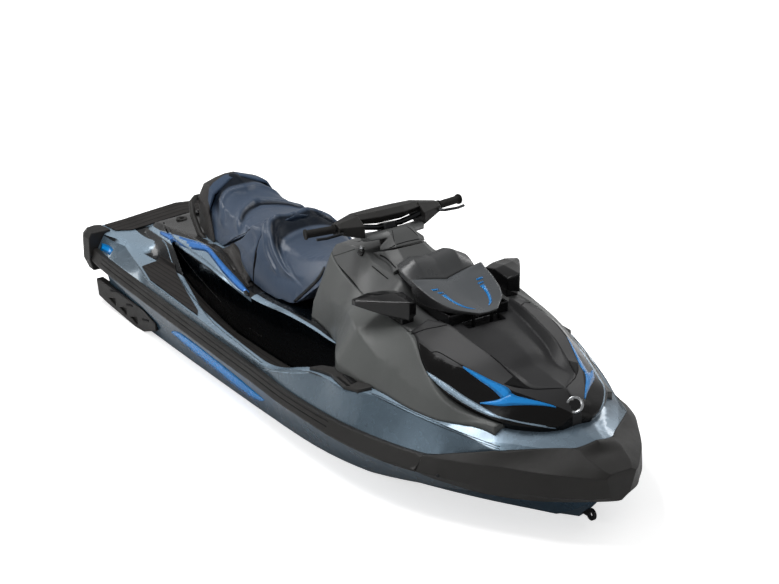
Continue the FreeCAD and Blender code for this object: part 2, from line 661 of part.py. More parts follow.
HOOD_STATIONS = [740, 800, 854, 920, 1000, 1064, 1128, 1162, 1220, 1284, 1325, 1361, 1400, 1440]
HOOD_LOW = [(740, 300, 812), (758, 303, 808), (842, 333, 790), (922, 346, 760), (1023, 346, 726),
            (1126, 325, 698), (1216, 295, 680), (1300, 262, 668), (1372, 198, 660), (1426, 120, 656),
            (1440, 80, 655)]
HOOD_SIDE = [(740, 296, 843), (842, 318, 816), (922, 322, 796), (1023, 300, 772), (1126, 270, 748),
             (1216, 235, 726), (1300, 190, 712), (1370, 130, 700), (1425, 78, 686), (1440, 55, 672)]
HOOD_EDGE = [(740, 288, 850), (842, 288, 839), (922, 283, 827), (1054, 255, 803), (1150, 215, 781),
             (1257, 171, 755), (1340, 115, 734), (1397, 66, 716), (1440, 22, 690)]
HOOD_RIDGE = [(740, 205, 884), (854, 179, 892), (960, 170, 872), (1087, 155, 845), (1190, 133, 804),
              (1284, 110, 767), (1325, 55, 765), (1361, 9, 763), (1440, 9, 692)]
HOOD_FOOT = [(740, 190, 862), (854, 160, 856), (1000, 140, 826), (1087, 125, 806), (1162, 99, 786),
             (1284, 80, 766), (1325, 44, 764), (1361, 6, 762), (1440, 6, 693)]
HOOD_TOP = [(740, 100, 868), (831, 89, 862), (1000, 74, 836), (1128, 59, 806), (1162, 52, 790),
            (1284, 30, 772), (1361, 3, 762), (1440, 3, 693)]
HOOD_MID = [(740, 0, 868), (854, 0, 868), (943, 0, 856), (1040, 0, 838), (1128, 0, 812), (1162, 0, 794),
            (1284, 0, 776), (1361, 0, 763), (1424, 0, 716), (1440, 0, 694)]
THROAT_R = 50.0            # room for the lid's nose to turn down, ahead of the bin
THROAT_HALF = 92.0
THROAT_X = (808.0, 890.0)


def make_upper_body(deck):
    panels = form([shifted(PANEL_LOW, 0, -60), PANEL_LOW, PANEL_MID, PANEL_SEAM, PANEL_IN], UPPER_STATIONS)
    panels = panels.cut(deck)
    console = form([shifted(PANEL_SEAM, -2, -30), shifted(PANEL_SEAM, -2), RIDGE, CONSOLE_TOP],
                   CONSOLE_STATIONS)
    hood = form([shifted(HOOD_LOW, -30, -45), HOOD_LOW, HOOD_SIDE, HOOD_EDGE, HOOD_RIDGE, HOOD_FOOT,
                 HOOD_TOP, HOOD_MID], HOOD_STATIONS)
    hood = hood.cut(bar_y(LID_AXIS_X, LID_AXIS_H, -THROAT_HALF, THROAT_HALF, THROAT_R).common(
        box(*THROAT_X, -THROAT_HALF, THROAT_HALF, 700, 1000)))
    console = console.cut(panels)
    hood = hood.cut(deck).cut(panels).cut(console)
    return panels, console, hood


def make_bin():
    outer = box(BIN_X[0] - BIN_WALL, BIN_X[1] + BIN_WALL, -BIN_HALF - BIN_WALL, BIN_HALF + BIN_WALL,
                BIN_FLOOR_H - BIN_WALL, BIN_RIM_H)
    return outer.cut(bin_block())


# Storage lid with the gauge pod

LID_AXIS_X = 828.0
LID_AXIS_H = 893.0
HINGE_BOSS_R = 9.0
HINGE_PIN_R = 4.0
HINGE_Y = (22.0, 40.0)
LUG_DEPTH = 66.0
LID_STATIONS = [560, 574, 600, 640, 680, 720, 760, 800, 825, 845, 866]
LID_BASE_H = BIN_RIM_H + FIT
LID_LOW = [(560, 158, 945), (574, 166, 930), (600, 168, LID_BASE_H + 6), (640, 166, LID_BASE_H),
           (700, 156, LID_BASE_H), (760, 138, LID_BASE_H), (800, 112, LID_BASE_H), (825, 84, LID_BASE_H),
           (845, 64, LID_BASE_H), (866, 42, LID_BASE_H)]
LID_SIDE = [(560, 164, 978), (574, 174, 992), (600, 175, 984), (640, 172, 972), (700, 162, 954),
            (760, 143, 937), (800, 117, 925), (825, 90, 920), (845, 70, 918), (866, 46, 915)]
LID_MID = [(560, 0, 955), (600, 0, 962), (640, 0, 955), (700, 0, 936), (760, 0, 922), (800, 0, 917),
           (866, 0, 911)]


def make_lid():
    """Visor-shaped storage lid with the two knuckles of its front hinge."""
    lid = form([LID_LOW, LID_SIDE, LID_MID], LID_STATIONS)
    for s in (1, -1):
        y0, y1 = sorted((s * HINGE_Y[0], s * HINGE_Y[1]))
        knuckle = bar_y(LID_AXIS_X, LID_AXIS_H, y0, y1, HINGE_BOSS_R)
        web = box(LID_AXIS_X - 5, LID_AXIS_X + 5, y0, y1, LID_AXIS_H, LID_BASE_H + 3)
        lid = lid.fuse([knuckle, web])
    return lid.cut(bar_y(LID_AXIS_X, LID_AXIS_H, -60, 60, HINGE_PIN_R + FIT))


def make_lid_hinge(hood):
    """The hinge's fixed half on the hood: a pin between two lugs."""
    out = HINGE_Y[1] + 2.0
    hinge = bar_y(LID_AXIS_X, LID_AXIS_H, -out - 5, out + 5, HINGE_PIN_R)
    for s in (1, -1):
        y0, y1 = sorted((s * out, s * (out + 6)))
        lug = box(LID_AXIS_X - 8, LID_AXIS_X + 8, y0, y1, LID_AXIS_H - LUG_DEPTH, LID_AXIS_H + 6)
        hinge = hinge.fuse(lug)
    return hinge.cut(hood)


POD_STATIONS = [418, 432, 455, 490, 520, 560, 590]
POD_LOW = [(418, 105, 985), (440, 140, 975), (520, 158, 962), (560, 156, 948), (590, 148, 940)]
POD_SIDE = [(418, 118, 1000), (440, 148, 1006), (490, 166, 1000), (520, 164, 990), (590, 150, 965)]
POD_TOP = [(418, 70, 1018), (440, 88, 1032), (490, 100, 1036), (520, 98, 1022), (560, 94, 985),
           (590, 88, 962)]
POD_MID = [(418, 0, 1010), (440, 0, 1018), (490, 0, 1020), (520, 0, 1006), (560, 0, 974), (590, 0, 958)]
DISPLAY = (412.0, 424.0, 72.0, 986.0, 1008.0)      # rear and front x, half width, low and high


def make_gauge_pod(lid):
    """Pod on the lid's rear edge, and the display let into its face."""
    x0, x1, half, low, high = DISPLAY
    pod = form([POD_LOW, POD_SIDE, POD_TOP, POD_MID], POD_STATIONS).cut(lid)
    display = box(x0, x1, -half, half, low, high)
    return largest(pod.cut(display)), display


# Glovebox in the console, ahead of the driver

GLOVE_X = (-38.0, 58.0)
GLOVE_HALF = 88.0
GLOVE_FLOOR_H = 872.0
GLOVE_LID_T = 10.0
GLOVE_LEDGE = 8.0
LID_GAP = 2.0
GLOVE_PIN_R = 3.0
GLOVE_SWING_R = 19.0
GLOVE_AXIS_X = 50.0
GLOVE_AXIS_H = 967.0


def make_glovebox(console):
    """Cut the pocket and its lid's recess from the console; returns console and lid."""
    layer = console.cut(raised(console, -GLOVE_LID_T))
    lid = largest(layer.common(box(*GLOVE_X, -GLOVE_HALF, GLOVE_HALF, 900, 1100)))
    pins = bar_y(GLOVE_AXIS_X, GLOVE_AXIS_H, -GLOVE_HALF - 5, GLOVE_HALF + 5, GLOVE_PIN_R)
    lid = lid.fuse(pins)
    recess = console.cut(raised(console, -GLOVE_LID_T - FIT)).common(
        box(GLOVE_X[0] - LID_GAP, GLOVE_X[1] + LID_GAP, -GLOVE_HALF - LID_GAP, GLOVE_HALF + LID_GAP,
            900, 1100))
    pocket = box(GLOVE_X[0] + GLOVE_LEDGE, GLOVE_X[1] - GLOVE_LEDGE, -GLOVE_HALF + GLOVE_LEDGE,
                 GLOVE_HALF - GLOVE_LEDGE, GLOVE_FLOOR_H, 1100)
    swing = bar_y(GLOVE_AXIS_X, GLOVE_AXIS_H, -GLOVE_HALF - LID_GAP, GLOVE_HALF + LID_GAP, GLOVE_SWING_R)
    bores = bar_y(GLOVE_AXIS_X, GLOVE_AXIS_H, -GLOVE_HALF - 6, GLOVE_HALF + 6, GLOVE_PIN_R + FIT)
    return largest(console.cut([recess, pocket, swing, bores])), lid


# Seats

SEAT_STATIONS = [-1165, -1110, -1050, -976, -900, -800, -700, -620, -575, -545, -520, -470, -400, -300, -200,
                 -100, -62]
SEAT_LOW = [(-1165, 140, 690), (-1110, 160, 690), (-976, 205, 690), (-800, 235, 660), (-640, 258, 590),
            (-546, 262, 560), (-400, 256, 606), (-210, 240, 640), (-100, 200, 735), (-62, 170, 770)]
SEAT_SIDE = [(-1165, 142, 830), (-1110, 158, 830), (-976, 182, 800), (-800, 205, 775), (-560, 240, 745),
             (-400, 226, 740), (-210, 190, 752), (-100, 150, 800), (-62, 130, 830)]
SEAT_SHOULDER = [(-1165, 112, 880), (-1110, 124, 886), (-1050, 136, 878), (-976, 150, 862),
                 (-900, 160, 846), (-800, 170, 838), (-700, 178, 840), (-575, 184, 846), (-545, 185, 849),
                 (-500, 182, 842), (-400, 166, 814), (-300, 146, 800), (-200, 126, 820), (-62, 100, 884)]
SEAT_TOP = [(-1165, 0, 918), (-1110, 0, 931), (-1050, 0, 920), (-976, 0, 880), (-900, 0, 852),
            (-800, 0, 846), (-700, 0, 855), (-600, 0, 876), (-575, 0, 890), (-545, 0, 918), (-520, 0, 920),
            (-470, 0, 878), (-400, 0, 832), (-300, 0, 824), (-200, 0, 846), (-62, 0, 905)]
SEAT_SPLIT = ((-887, 677), (-556, 872))     # side view of the joint between the two seats
SEAT_GAP = 1.0
SHELL_T = 9.0
SHELL_GAP = 0.4
SHELL_AFT = 12.0
SHELL_SINK = 40.0
SHELL_SIDE = [(-1200, 890), (-1150, 928), (-1085, 925), (-1045, 880), (-1025, 795), (-888, 667), (-780, 712),
              (-690, 712), (-625, 640), (-585, 560), (-640, 530), (-900, 590), (-1100, 640), (-1200, 690)]


def seat_form(grow=0.0, aft=0.0, sink=0.0):
    """The whole seat's form, grown sideways and up, longer aft, and carried down below its base."""
    stations = [SEAT_STATIONS[0] - aft] + SEAT_STATIONS[1:] if aft else SEAT_STATIONS
    skirt = [shifted(SEAT_LOW, grow, -sink)] if sink else []
    return form(skirt + [shifted(SEAT_LOW, grow), shifted(SEAT_SIDE, grow),
                         shifted(SEAT_SHOULDER, grow, grow), shifted(SEAT_TOP, 0, grow)], stations)


def make_seats(deck, others):
    """Driver's seat, passenger seat and the shell that the passenger seat sits in."""
    whole = seat_form().cut(deck)
    for other in others:
        whole = whole.cut(other)
    (x0, h0), (x1, h1) = SEAT_SPLIT
    slope = (h1 - h0) / (x1 - x0)
    far = (-1400, h0 + (-1400 - x0) * slope)
    crest = (x1, h1)
    front_zone = [far, (x0, h0), crest, (x1 + 6, h1 + 120), (200, h1 + 120), (200, 400), (-1400, 400)]
    front = largest(whole.common(side_prism(front_zone, -400, 400)))
    rear = largest(whole.cut(side_prism(
        [(x, h + SEAT_GAP * 1.2) for x, h in front_zone[:3]] + [(x1 + 5, h1 + 120)] + front_zone[4:],
        -400, 400)))
    shell = seat_form(SHELL_T, SHELL_AFT).cut(seat_form(SHELL_GAP, 0.0, SHELL_SINK))
    shell = shell.common(side_prism(SHELL_SIDE, -400, 400)).cut(deck)
    front = front.cut(side_prism([(-1400, 1000), (-1400, 400), (-880, 400), (-880, 1000)], -400, 400))
    return largest(front), rear, largest(shell)


def make_grab_handle():
    points = [Vector(-945, -215, 655), Vector(-1058, -215, 694), Vector(-1146, -200, 757),
              Vector(-1205, -172, 796), Vector(-1232, -135, 806), Vector(-1232, 135, 806),
              Vector(-1205, 172, 796), Vector(-1146, 200, 757), Vector(-1058, 215, 694),
              Vector(-945, 215, 655)]
    return tube_along(points, 14)


# Steering

STEER_X = 160.0
STEER_H = 1050.0
STEER_RAKE = 20.0          # degrees, column leaning aft as it rises
GRIP_END = Vector(125, 390, 1092)
GRIP_IN = Vector(150, 262, 1096)
BAR_R = 12.0
GRIP_R = 17.0


def column_axis():
    a = math.radians(STEER_RAKE)
    return Vector(-math.sin(a), 0, math.cos(a))


def make_column(others):
    """Fixed neck that carries the handlebar."""
    axis = column_axis()
    top = Vector(STEER_X, 0, STEER_H)
    neck = Part.makeCylinder(NECK_R, 150, top - axis * 150, axis)
    for other in others:
        neck = neck.cut(other)
    stem = Part.makeCylinder(16, 14, top, axis)
    return largest(neck).fuse(stem)


NECK_R = 46.0
NECK_GAP = 8.0
SEAM_DROP = 79.0           # along the column, from the bar's pivot down to the shroud's seam
SEAM_GAP = 3.0
SKIRT_DROP = 32.0          # the turning half stays this high where the console passes below it
SKIRT_X = 262.0
SHROUD_STATIONS = [150, 175, 200, 230, 255, 280, 310, 340, 375, 408]
SHROUD_LOW = [(150, 118, 1010), (200, 118, 1000), (240, 114, 965), (255, 112, 955), (310, 114, 948),
              (408, 140, 940)]
SHROUD_SIDE = [(150, 152, 1052), (200, 152, 1058), (230, 134, 1048), (255, 114, 1030),
               (280, 106, 1010), (310, 108, 996), (340, 114, 984), (408, 142, 964)]
SHROUD_TOP = [(150, 58, 1046), (200, 60, 1066), (240, 56, 1076), (262, 56, 1066), (300, 62, 1038),
              (340, 66, 1014), (375, 72, 998), (408, 84, 984)]
SHROUD_MID = [(150, 0, 1044), (200, 0, 1064), (240, 0, 1078), (262, 0, 1068), (300, 0, 1042),
              (340, 0, 1018), (375, 0, 1000), (408, 0, 986)]


def make_shrouds(bar, fixed):
    """Cover ahead of the bars, parted on a plane square to the column so that its upper half can turn."""
    axis = column_axis()
    top = Vector(STEER_X, 0, STEER_H)
    whole = form([SHROUD_LOW, SHROUD_SIDE, SHROUD_TOP, SHROUD_MID], SHROUD_STATIONS)
    slab = Part.makeCylinder(600, 400, top - axis * (SEAM_DROP - SEAM_GAP), axis)
    room = Part.makeCylinder(NECK_R + NECK_GAP, 300, top - axis * 290, axis)
    skirt = Part.makeCylinder(600, 200, top - axis * SKIRT_DROP, axis * -1)
    skirt = skirt.common(box(-400, SKIRT_X, -400, 400, 700, 1200))
    upper = whole.common(slab).cut([room, skirt, bar])
    below = Part.makeCylinder(600, 400, top - axis * (SEAM_DROP + SEAM_GAP), axis * -1)
    lower = whole.common(below)
    for other in fixed:
        lower = lower.cut(other)
    return largest(upper), largest(lower)


def make_handlebar():
    axis = column_axis()
    top = Vector(STEER_X, 0, STEER_H)
    clamp = Part.makeCylinder(40, 26, top + axis * FIT, axis)
    rise = [GRIP_IN, Vector(175, 150, 1090), Vector(165, 60, 1068), Vector(165, -60, 1068),
            Vector(175, -150, 1090), Vector(GRIP_IN.x, -GRIP_IN.y, GRIP_IN.z)]
    outward = (GRIP_END - GRIP_IN)
    left = Part.makeCylinder(BAR_R, outward.Length - 4, GRIP_IN, outward)
    bar = tube_along(rise, BAR_R).fuse([left, mirror_y(left), clamp])
    return bar.cut(Part.makeCylinder(16 + FIT, 15, top, axis))


def make_grips():
    outward = GRIP_END - GRIP_IN
    grip = Part.makeCylinder(GRIP_R, outward.Length, GRIP_IN, outward)
    outward.normalize()
    grip = grip.fuse(Part.makeCylinder(GRIP_R + 5, 7, GRIP_END - outward * 7, outward))
    grip = grip.fuse(Part.makeCylinder(GRIP_R + 4, 6, GRIP_IN, outward))
    bar = Part.makeCylinder(BAR_R, 800, GRIP_IN, outward)
    core = bar.common(Part.makeCylinder(BAR_R, (GRIP_END - GRIP_IN).Length - 4, GRIP_IN, outward))
    return grip.cut(core)


def cross_loft(rings):
    """Solid across the craft through (y, outline) rings, each outline a list of (x, height)."""
    wires = []
    for y, outline in rings:
        points = [Vector(x, y, h) for x, h in outline]
        wires.append(Part.makePolygon(points + [points[0]]))
    return Part.makeLoft(wires, True, True)


PAD_END = [(96, 1100), (97, 1127), (150, 1136), (176, 1122), (150, 1094)]
PAD_MIDDLE = [(98, 1094), (100, 1131), (168, 1141), (198, 1124), (168, 1086)]
HOUSING_IN = [(97, 1062), (97, 1127), (160, 1134), (212, 1104), (212, 1052), (150, 1034)]
HOUSING_OUT = [(128, 1076), (128, 1114), (160, 1118), (180, 1106), (178, 1082), (150, 1072)]
PAD_Y = 150.0
HOUSING_Y = 256.0


def make_bar_cover(bar):
    """Padded cover over the middle of the bar."""
    pad = cross_loft([(-PAD_Y, PAD_END), (-60, PAD_MIDDLE), (60, PAD_MIDDLE), (PAD_Y, PAD_END)])
    return largest(pad.cut(bar))


def make_switches(bar):
    """Switch housings between the pad and the grips."""
    housing = cross_loft([(-HOUSING_Y, HOUSING_OUT), (-PAD_Y - 0.3, HOUSING_IN)])
    housing = largest(housing.cut(bar))
    return Part.Compound([housing, mirror_y(housing)])


def make_levers(switches, bar):
    out = []
    for s in (1, -1):
        points = [Vector(176, s * 236, 1088), Vector(206, s * 262, 1092), Vector(200, s * 330, 1086),
                  Vector(186, s * 372, 1084)]
        lever = tube_along(points, 6)
        out.append(largest(lever.cut(switches).cut(bar)))
    return Part.Compound(out)


# Mirrors and small fittings

MIRROR_RINGS = [
    (-228, [(535, 896), (535, 944), (600, 958), (690, 945), (690, 892)]),
    (-275, [(520, 890), (520, 950), (600, 966), (712, 962), (712, 884)]),
    (-345, [(512, 896), (512, 952), (570, 958), (622, 950), (622, 896)]),
    (-412, [(505, 916), (505, 938), (515, 940), (530, 937), (530, 918)]),
]
MIRROR_FOOT = (590, 680, -290, -232, 840, 900)
GLASS_T = 3.0


def make_mirror(bodies):
    """Horn-shaped mirror with the glass let into its rear face; returns housing and glass."""
    horn = cross_loft(MIRROR_RINGS[::-1])
    ahead = horn.copy()
    ahead.translate(Vector(GLASS_T, 0, 0))
    glass = horn.cut(ahead).common(box(480, 600, -395, -242, 903, 941))
    horn = horn.fuse(box(*MIRROR_FOOT)).cut(glass)
    for body in bodies:
        horn = horn.cut(body)
    return largest(horn), largest(glass)


VENT = [(392, -545), (524, -530), (657, -553), (732, -536), (762, -489), (690, -468), (591, -482),
        (500, -470), (420, -480)]
VENT_T = 14.0


def make_vents(panels, deck):
    layer = raised(deck, VENT_T).cut(deck)
    return largest(layer.common(plan_prism(VENT, 560, 760)).cut(panels))


PEDESTAL_PANEL = [(-1306, 650), (-1100, 684), (-866, 716), (-803, 720), (-751, 694), (-648, 655),
                  (-462, 606), (-480, 598), (-700, 632), (-846, 646), (-1028, 648), (-1196, 642)]
PEDESTAL_T = 5.0


def make_pedestal_panel(deck):
    """Coloured panel on the starboard flank of the seat's pedestal."""
    patch = deck.common(side_prism(PEDESTAL_PANEL, -420, -230))
    patch.translate(Vector(0, -PEDESTAL_T, PEDESTAL_T))
    return largest(patch.cut(deck))


EYE_R = 24.0
EYE_BORE_R = 11.0
EYE_T = 12.0
EYE_FOOT = 60.0
EYE_FOOT_HALF = 14.0
BOW_EYE = (1546.0, 300.0)
STERN_EYE = (-1496.0, 330.0, 330.0)


def make_bow_eye(hull):
    """Round eye, bored across the craft, on a foot in the stem."""
    x, h = BOW_EYE
    ring = bar_y(x, h, -EYE_T / 2, EYE_T / 2, EYE_R)
    hole = bar_y(x, h, -EYE_T, EYE_T, EYE_BORE_R)
    foot = box(x - EYE_FOOT, x, -EYE_T / 2, EYE_T / 2, h - EYE_FOOT_HALF, h + EYE_FOOT_HALF)
    return ring.fuse(foot).cut(hole).cut(hull)


def make_stern_eye(s):
    """Level eye on the transom, bored from top to bottom."""
    x, y, h = STERN_EYE
    y *= s
    low = Vector(x, y, h - EYE_T / 2)
    ring = Part.makeCylinder(EYE_R, EYE_T, low)
    hole = Part.makeCylinder(EYE_BORE_R, 2 * EYE_T, low - Vector(0, 0, EYE_T / 2))
    foot = box(x, TRANSOM_X, y - EYE_FOOT_HALF, y + EYE_FOOT_HALF, h - EYE_T / 2, h + EYE_T / 2)
    return ring.fuse(foot).cut(hole)


SOCKET_X = -1400.0
SOCKET_Y = 120.0
SOCKET_R = 26.0
SOCKET_BORE_R = 12.0
SOCKET_H = (600.0, 652.0)
SOCKET_DEPTH = 34.0


def make_socket(s):
    """Anchor socket on the deck behind the seat."""
    low, high = SOCKET_H
    up = Vector(0, 0, 1)
    body = Part.makeCylinder(SOCKET_R, high - low, Vector(SOCKET_X, s * SOCKET_Y, low), up)
    floor = Vector(SOCKET_X, s * SOCKET_Y, high - SOCKET_DEPTH)
    bore = Part.makeCylinder(SOCKET_BORE_R, SOCKET_DEPTH + 1, floor, up)
    return body, body.cut(bore)


def main():
    hull, deck = make_hull_and_deck()
    hull = hull.cut(tunnel_cut())
    engine = box(*ENGINE_X, -ENGINE_HALF, ENGINE_HALF, *ENGINE_H)
    rail = make_rail(hull, deck)
    rails = Part.Compound([rail, mirror_y(rail)])
    save("rub_rails", rails)
    bumper = make_bumper(hull, deck).cut(rails)
    save("bow_bumper", bumper)
    stern = make_stern_bumper(deck, rail)
    save("stern_bumpers", Part.Compound([stern, mirror_y(stern)]))
    panels, console, hood = make_upper_body(deck)
    sockets = []
    for s in (1, -1):
        body, socket = make_socket(s)
        sockets.append(socket)
        deck = deck.cut(body)
    save("cargo_sockets", Part.Compound(sockets))
    for cut in (engine, bin_block(BIN_WALL)):
        hull = hull.cut(cut)
        deck = deck.cut(cut)
    panels = panels.cut(bin_block(BIN_WALL))
    console = console.cut(bin_block(BIN_WALL))
    hood = hood.cut(bin_block(BIN_WALL))
    save("engine_block", engine)
    save("hull", hull)
    save("deck", deck)
    gunwale, platform, floor = make_mats(deck)
    save("gunwale_mats", Part.Compound([gunwale, mirror_y(gunwale)]))
    save("footwell_mats", Part.Compound([floor, mirror_y(floor)]))
    save("platform_mat", platform)
    save("side_panels", panels)
    console, glove_lid = make_glovebox(console)
    save("console", console)
    save("glovebox_lid", glove_lid)
    save("hood", hood)
    save("storage_bin", make_bin())
    lid = make_lid()
    save("storage_lid", lid)
    save("lid_hinge", make_lid_hinge(hood))
    pod, display = make_gauge_pod(lid)
    save("gauge_pod", pod)
    save("gauge_display", display)
    front, rear, shell = make_seats(deck, [console, panels])
    save("seat_front", front)
    save("seat_rear", rear)
    save("seat_shell", shell)
    save("grab_handle", largest(make_grab_handle().cut([deck, shell, rear])))
    side = largest(make_pedestal_panel(deck).cut([front, rear, shell]))
    save("pedestal_panels", Part.Compound([side, mirror_y(side)]))
    sponson = make_sponson(hull, rails)
    save("sponsons", Part.Compound([sponson, mirror_y(sponson)]))
    mirror, glass = make_mirror([panels, console])
    save("mirrors", Part.Compound([mirror, mirror_y(mirror)]))
    save("mirror_glass", Part.Compound([glass, mirror_y(glass)]))
    vent = make_vents(panels, deck)
    save("side_vents", Part.Compound([vent, mirror_y(vent)]))
    save("ride_plate", make_ride_plate())
    save("intake_grate", make_grate())
    save("pump_housing", make_pump())
    save("impeller", make_impeller())
    save("steering_nozzle", make_nozzle())
    save("reverse_bucket", make_bucket())
    save("boarding_ladder", make_ladder())
    save("ladder_brackets", make_ladder_brackets())
    save("bow_eye", make_bow_eye(hull))
    save("stern_eyes", Part.Compound([make_stern_eye(s) for s in (1, -1)]))
    column = make_column([console, panels])
    save("steering_column", column)
    bar = make_handlebar()
    save("handlebar", bar)
    grip = make_grips()
    save("grips", Part.Compound([grip, mirror_y(grip)]))
    save("bar_cover", make_bar_cover(bar))
    switches = make_switches(bar)
    save("switch_housings", switches)
    save("control_levers", make_levers(switches, bar))
    upper, lower = make_shrouds(bar, [console, column])
    save("steering_shroud", largest(upper.cut(switches)))
    save("column_shroud", lower)

    os.makedirs("parts", exist_ok=True)
    for name, shape in PIECES.items():
        shape.translate(Vector(0, 0, -DRAFT))
        shape.exportStep("parts/" + name + ".step")
        print(name, len(shape.Solids), shape.isValid(), round(shape.Volume / 1e6, 2))


main()
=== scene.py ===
"""Looks of the personal watercraft: finishes, upholstery, mats, stripes and fittings.

The row's frame has its origin on the water amidships, +X to the bow, +Y to port, +Z up.
Points and lines are in millimetres, with heights from the keel, as in the CAD source, and
keel() turns them into the row's frame. Widths, lifts and radii are in metres.
"""

import math

import bpy
import numpy as np
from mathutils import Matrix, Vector
from mathutils.bvhtree import BVHTree


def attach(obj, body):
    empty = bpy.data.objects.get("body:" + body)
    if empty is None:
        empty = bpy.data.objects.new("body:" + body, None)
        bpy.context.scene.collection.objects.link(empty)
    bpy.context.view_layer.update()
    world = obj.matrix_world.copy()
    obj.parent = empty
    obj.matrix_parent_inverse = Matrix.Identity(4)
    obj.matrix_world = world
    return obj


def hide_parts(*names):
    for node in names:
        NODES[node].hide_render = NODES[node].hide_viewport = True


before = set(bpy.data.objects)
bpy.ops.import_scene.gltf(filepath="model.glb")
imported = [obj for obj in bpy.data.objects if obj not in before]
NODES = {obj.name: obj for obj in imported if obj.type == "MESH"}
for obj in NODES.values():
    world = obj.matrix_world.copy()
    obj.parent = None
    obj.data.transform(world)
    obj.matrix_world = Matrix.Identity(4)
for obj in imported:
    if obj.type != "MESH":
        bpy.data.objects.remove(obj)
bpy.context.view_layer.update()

DRAFT = 0.260


def keel(x, y, h):
    """A point given in millimetres, with its height above the keel."""
    return Vector((x / 1000, y / 1000, h / 1000 - DRAFT))


# Colours, as sRGB bytes

STEEL_BLUE = (0x4E, 0x5E, 0x6A)
HULL_BLUE = (0x2E, 0x44, 0x54)
PALE_BLUE = (0x8E, 0xA3, 0xB4)
WELL_NAVY = (0x04, 0x09, 0x0E)
CHARCOAL = (0x22, 0x21, 0x20)
HOOD_GREY = (0x2B, 0x2B, 0x2C)
POD_GREY = (0x3C, 0x3D, 0x3E)
VISOR_GREY = (0x4A, 0x4D, 0x50)
PANEL_GREY = (0x50, 0x52, 0x51)
CONSOLE_GREY = (0x4C, 0x4D, 0x4D)
VINYL_NAVY = (0x30, 0x40, 0x55)
STRIPE_BLUE = (0x10, 0x86, 0xD4)
PANEL_STRIPE_BLUE = (0x35, 0x74, 0xBE)
FOAM_BLACK = (0x2A, 0x28, 0x27)
ACCENT_RED = (0xC8, 0x4A, 0x30)
SEAM_BLACK = (0x0B, 0x0B, 0x0C)
BADGE_SILVER = (0xA8, 0xAA, 0xAC)
SHELL_CHARCOAL = (0x2B, 0x29, 0x28)
DECK_CHARCOAL = (0x14, 0x14, 0x14)
HOOD_BLACK = (0x09, 0x08, 0x08)
VISOR_CHEEK_SHADE = (0x2E, 0x2E, 0x2F)
GLOSS_BLACK = (0x12, 0x12, 0x13)
CAST_GREY = (0x9A, 0x9C, 0x9E)
STEEL_GREY = (0xC0, 0xC2, 0xC4)
BAR_BLACK = (0x30, 0x31, 0x33)
GRIP_BLACK = (0x1E, 0x1D, 0x1C)
MIRROR_SILVER = (214, 218, 222)
SCREEN_DARK = (8, 10, 13)
SCREEN_LIT = (120, 150, 170)

PALE_GLINT = 1.3        # how much brighter the grains of the pale paint are
DIAL_HEIGHT = 997       # the display's centre, above the keel


def linear(rgb):
    out = []
    for byte in rgb:
        c = byte / 255
        out.append(c / 12.92 if c <= 0.04045 else ((c + 0.055) / 1.055) ** 2.4)
    return (*out, 1.0)


def scaled(rgb, factor):
    """The linear colour, brighter or darker by a factor."""
    return (*(min(1.0, c * factor) for c in linear(rgb)[:3]), 1.0)


# Materials

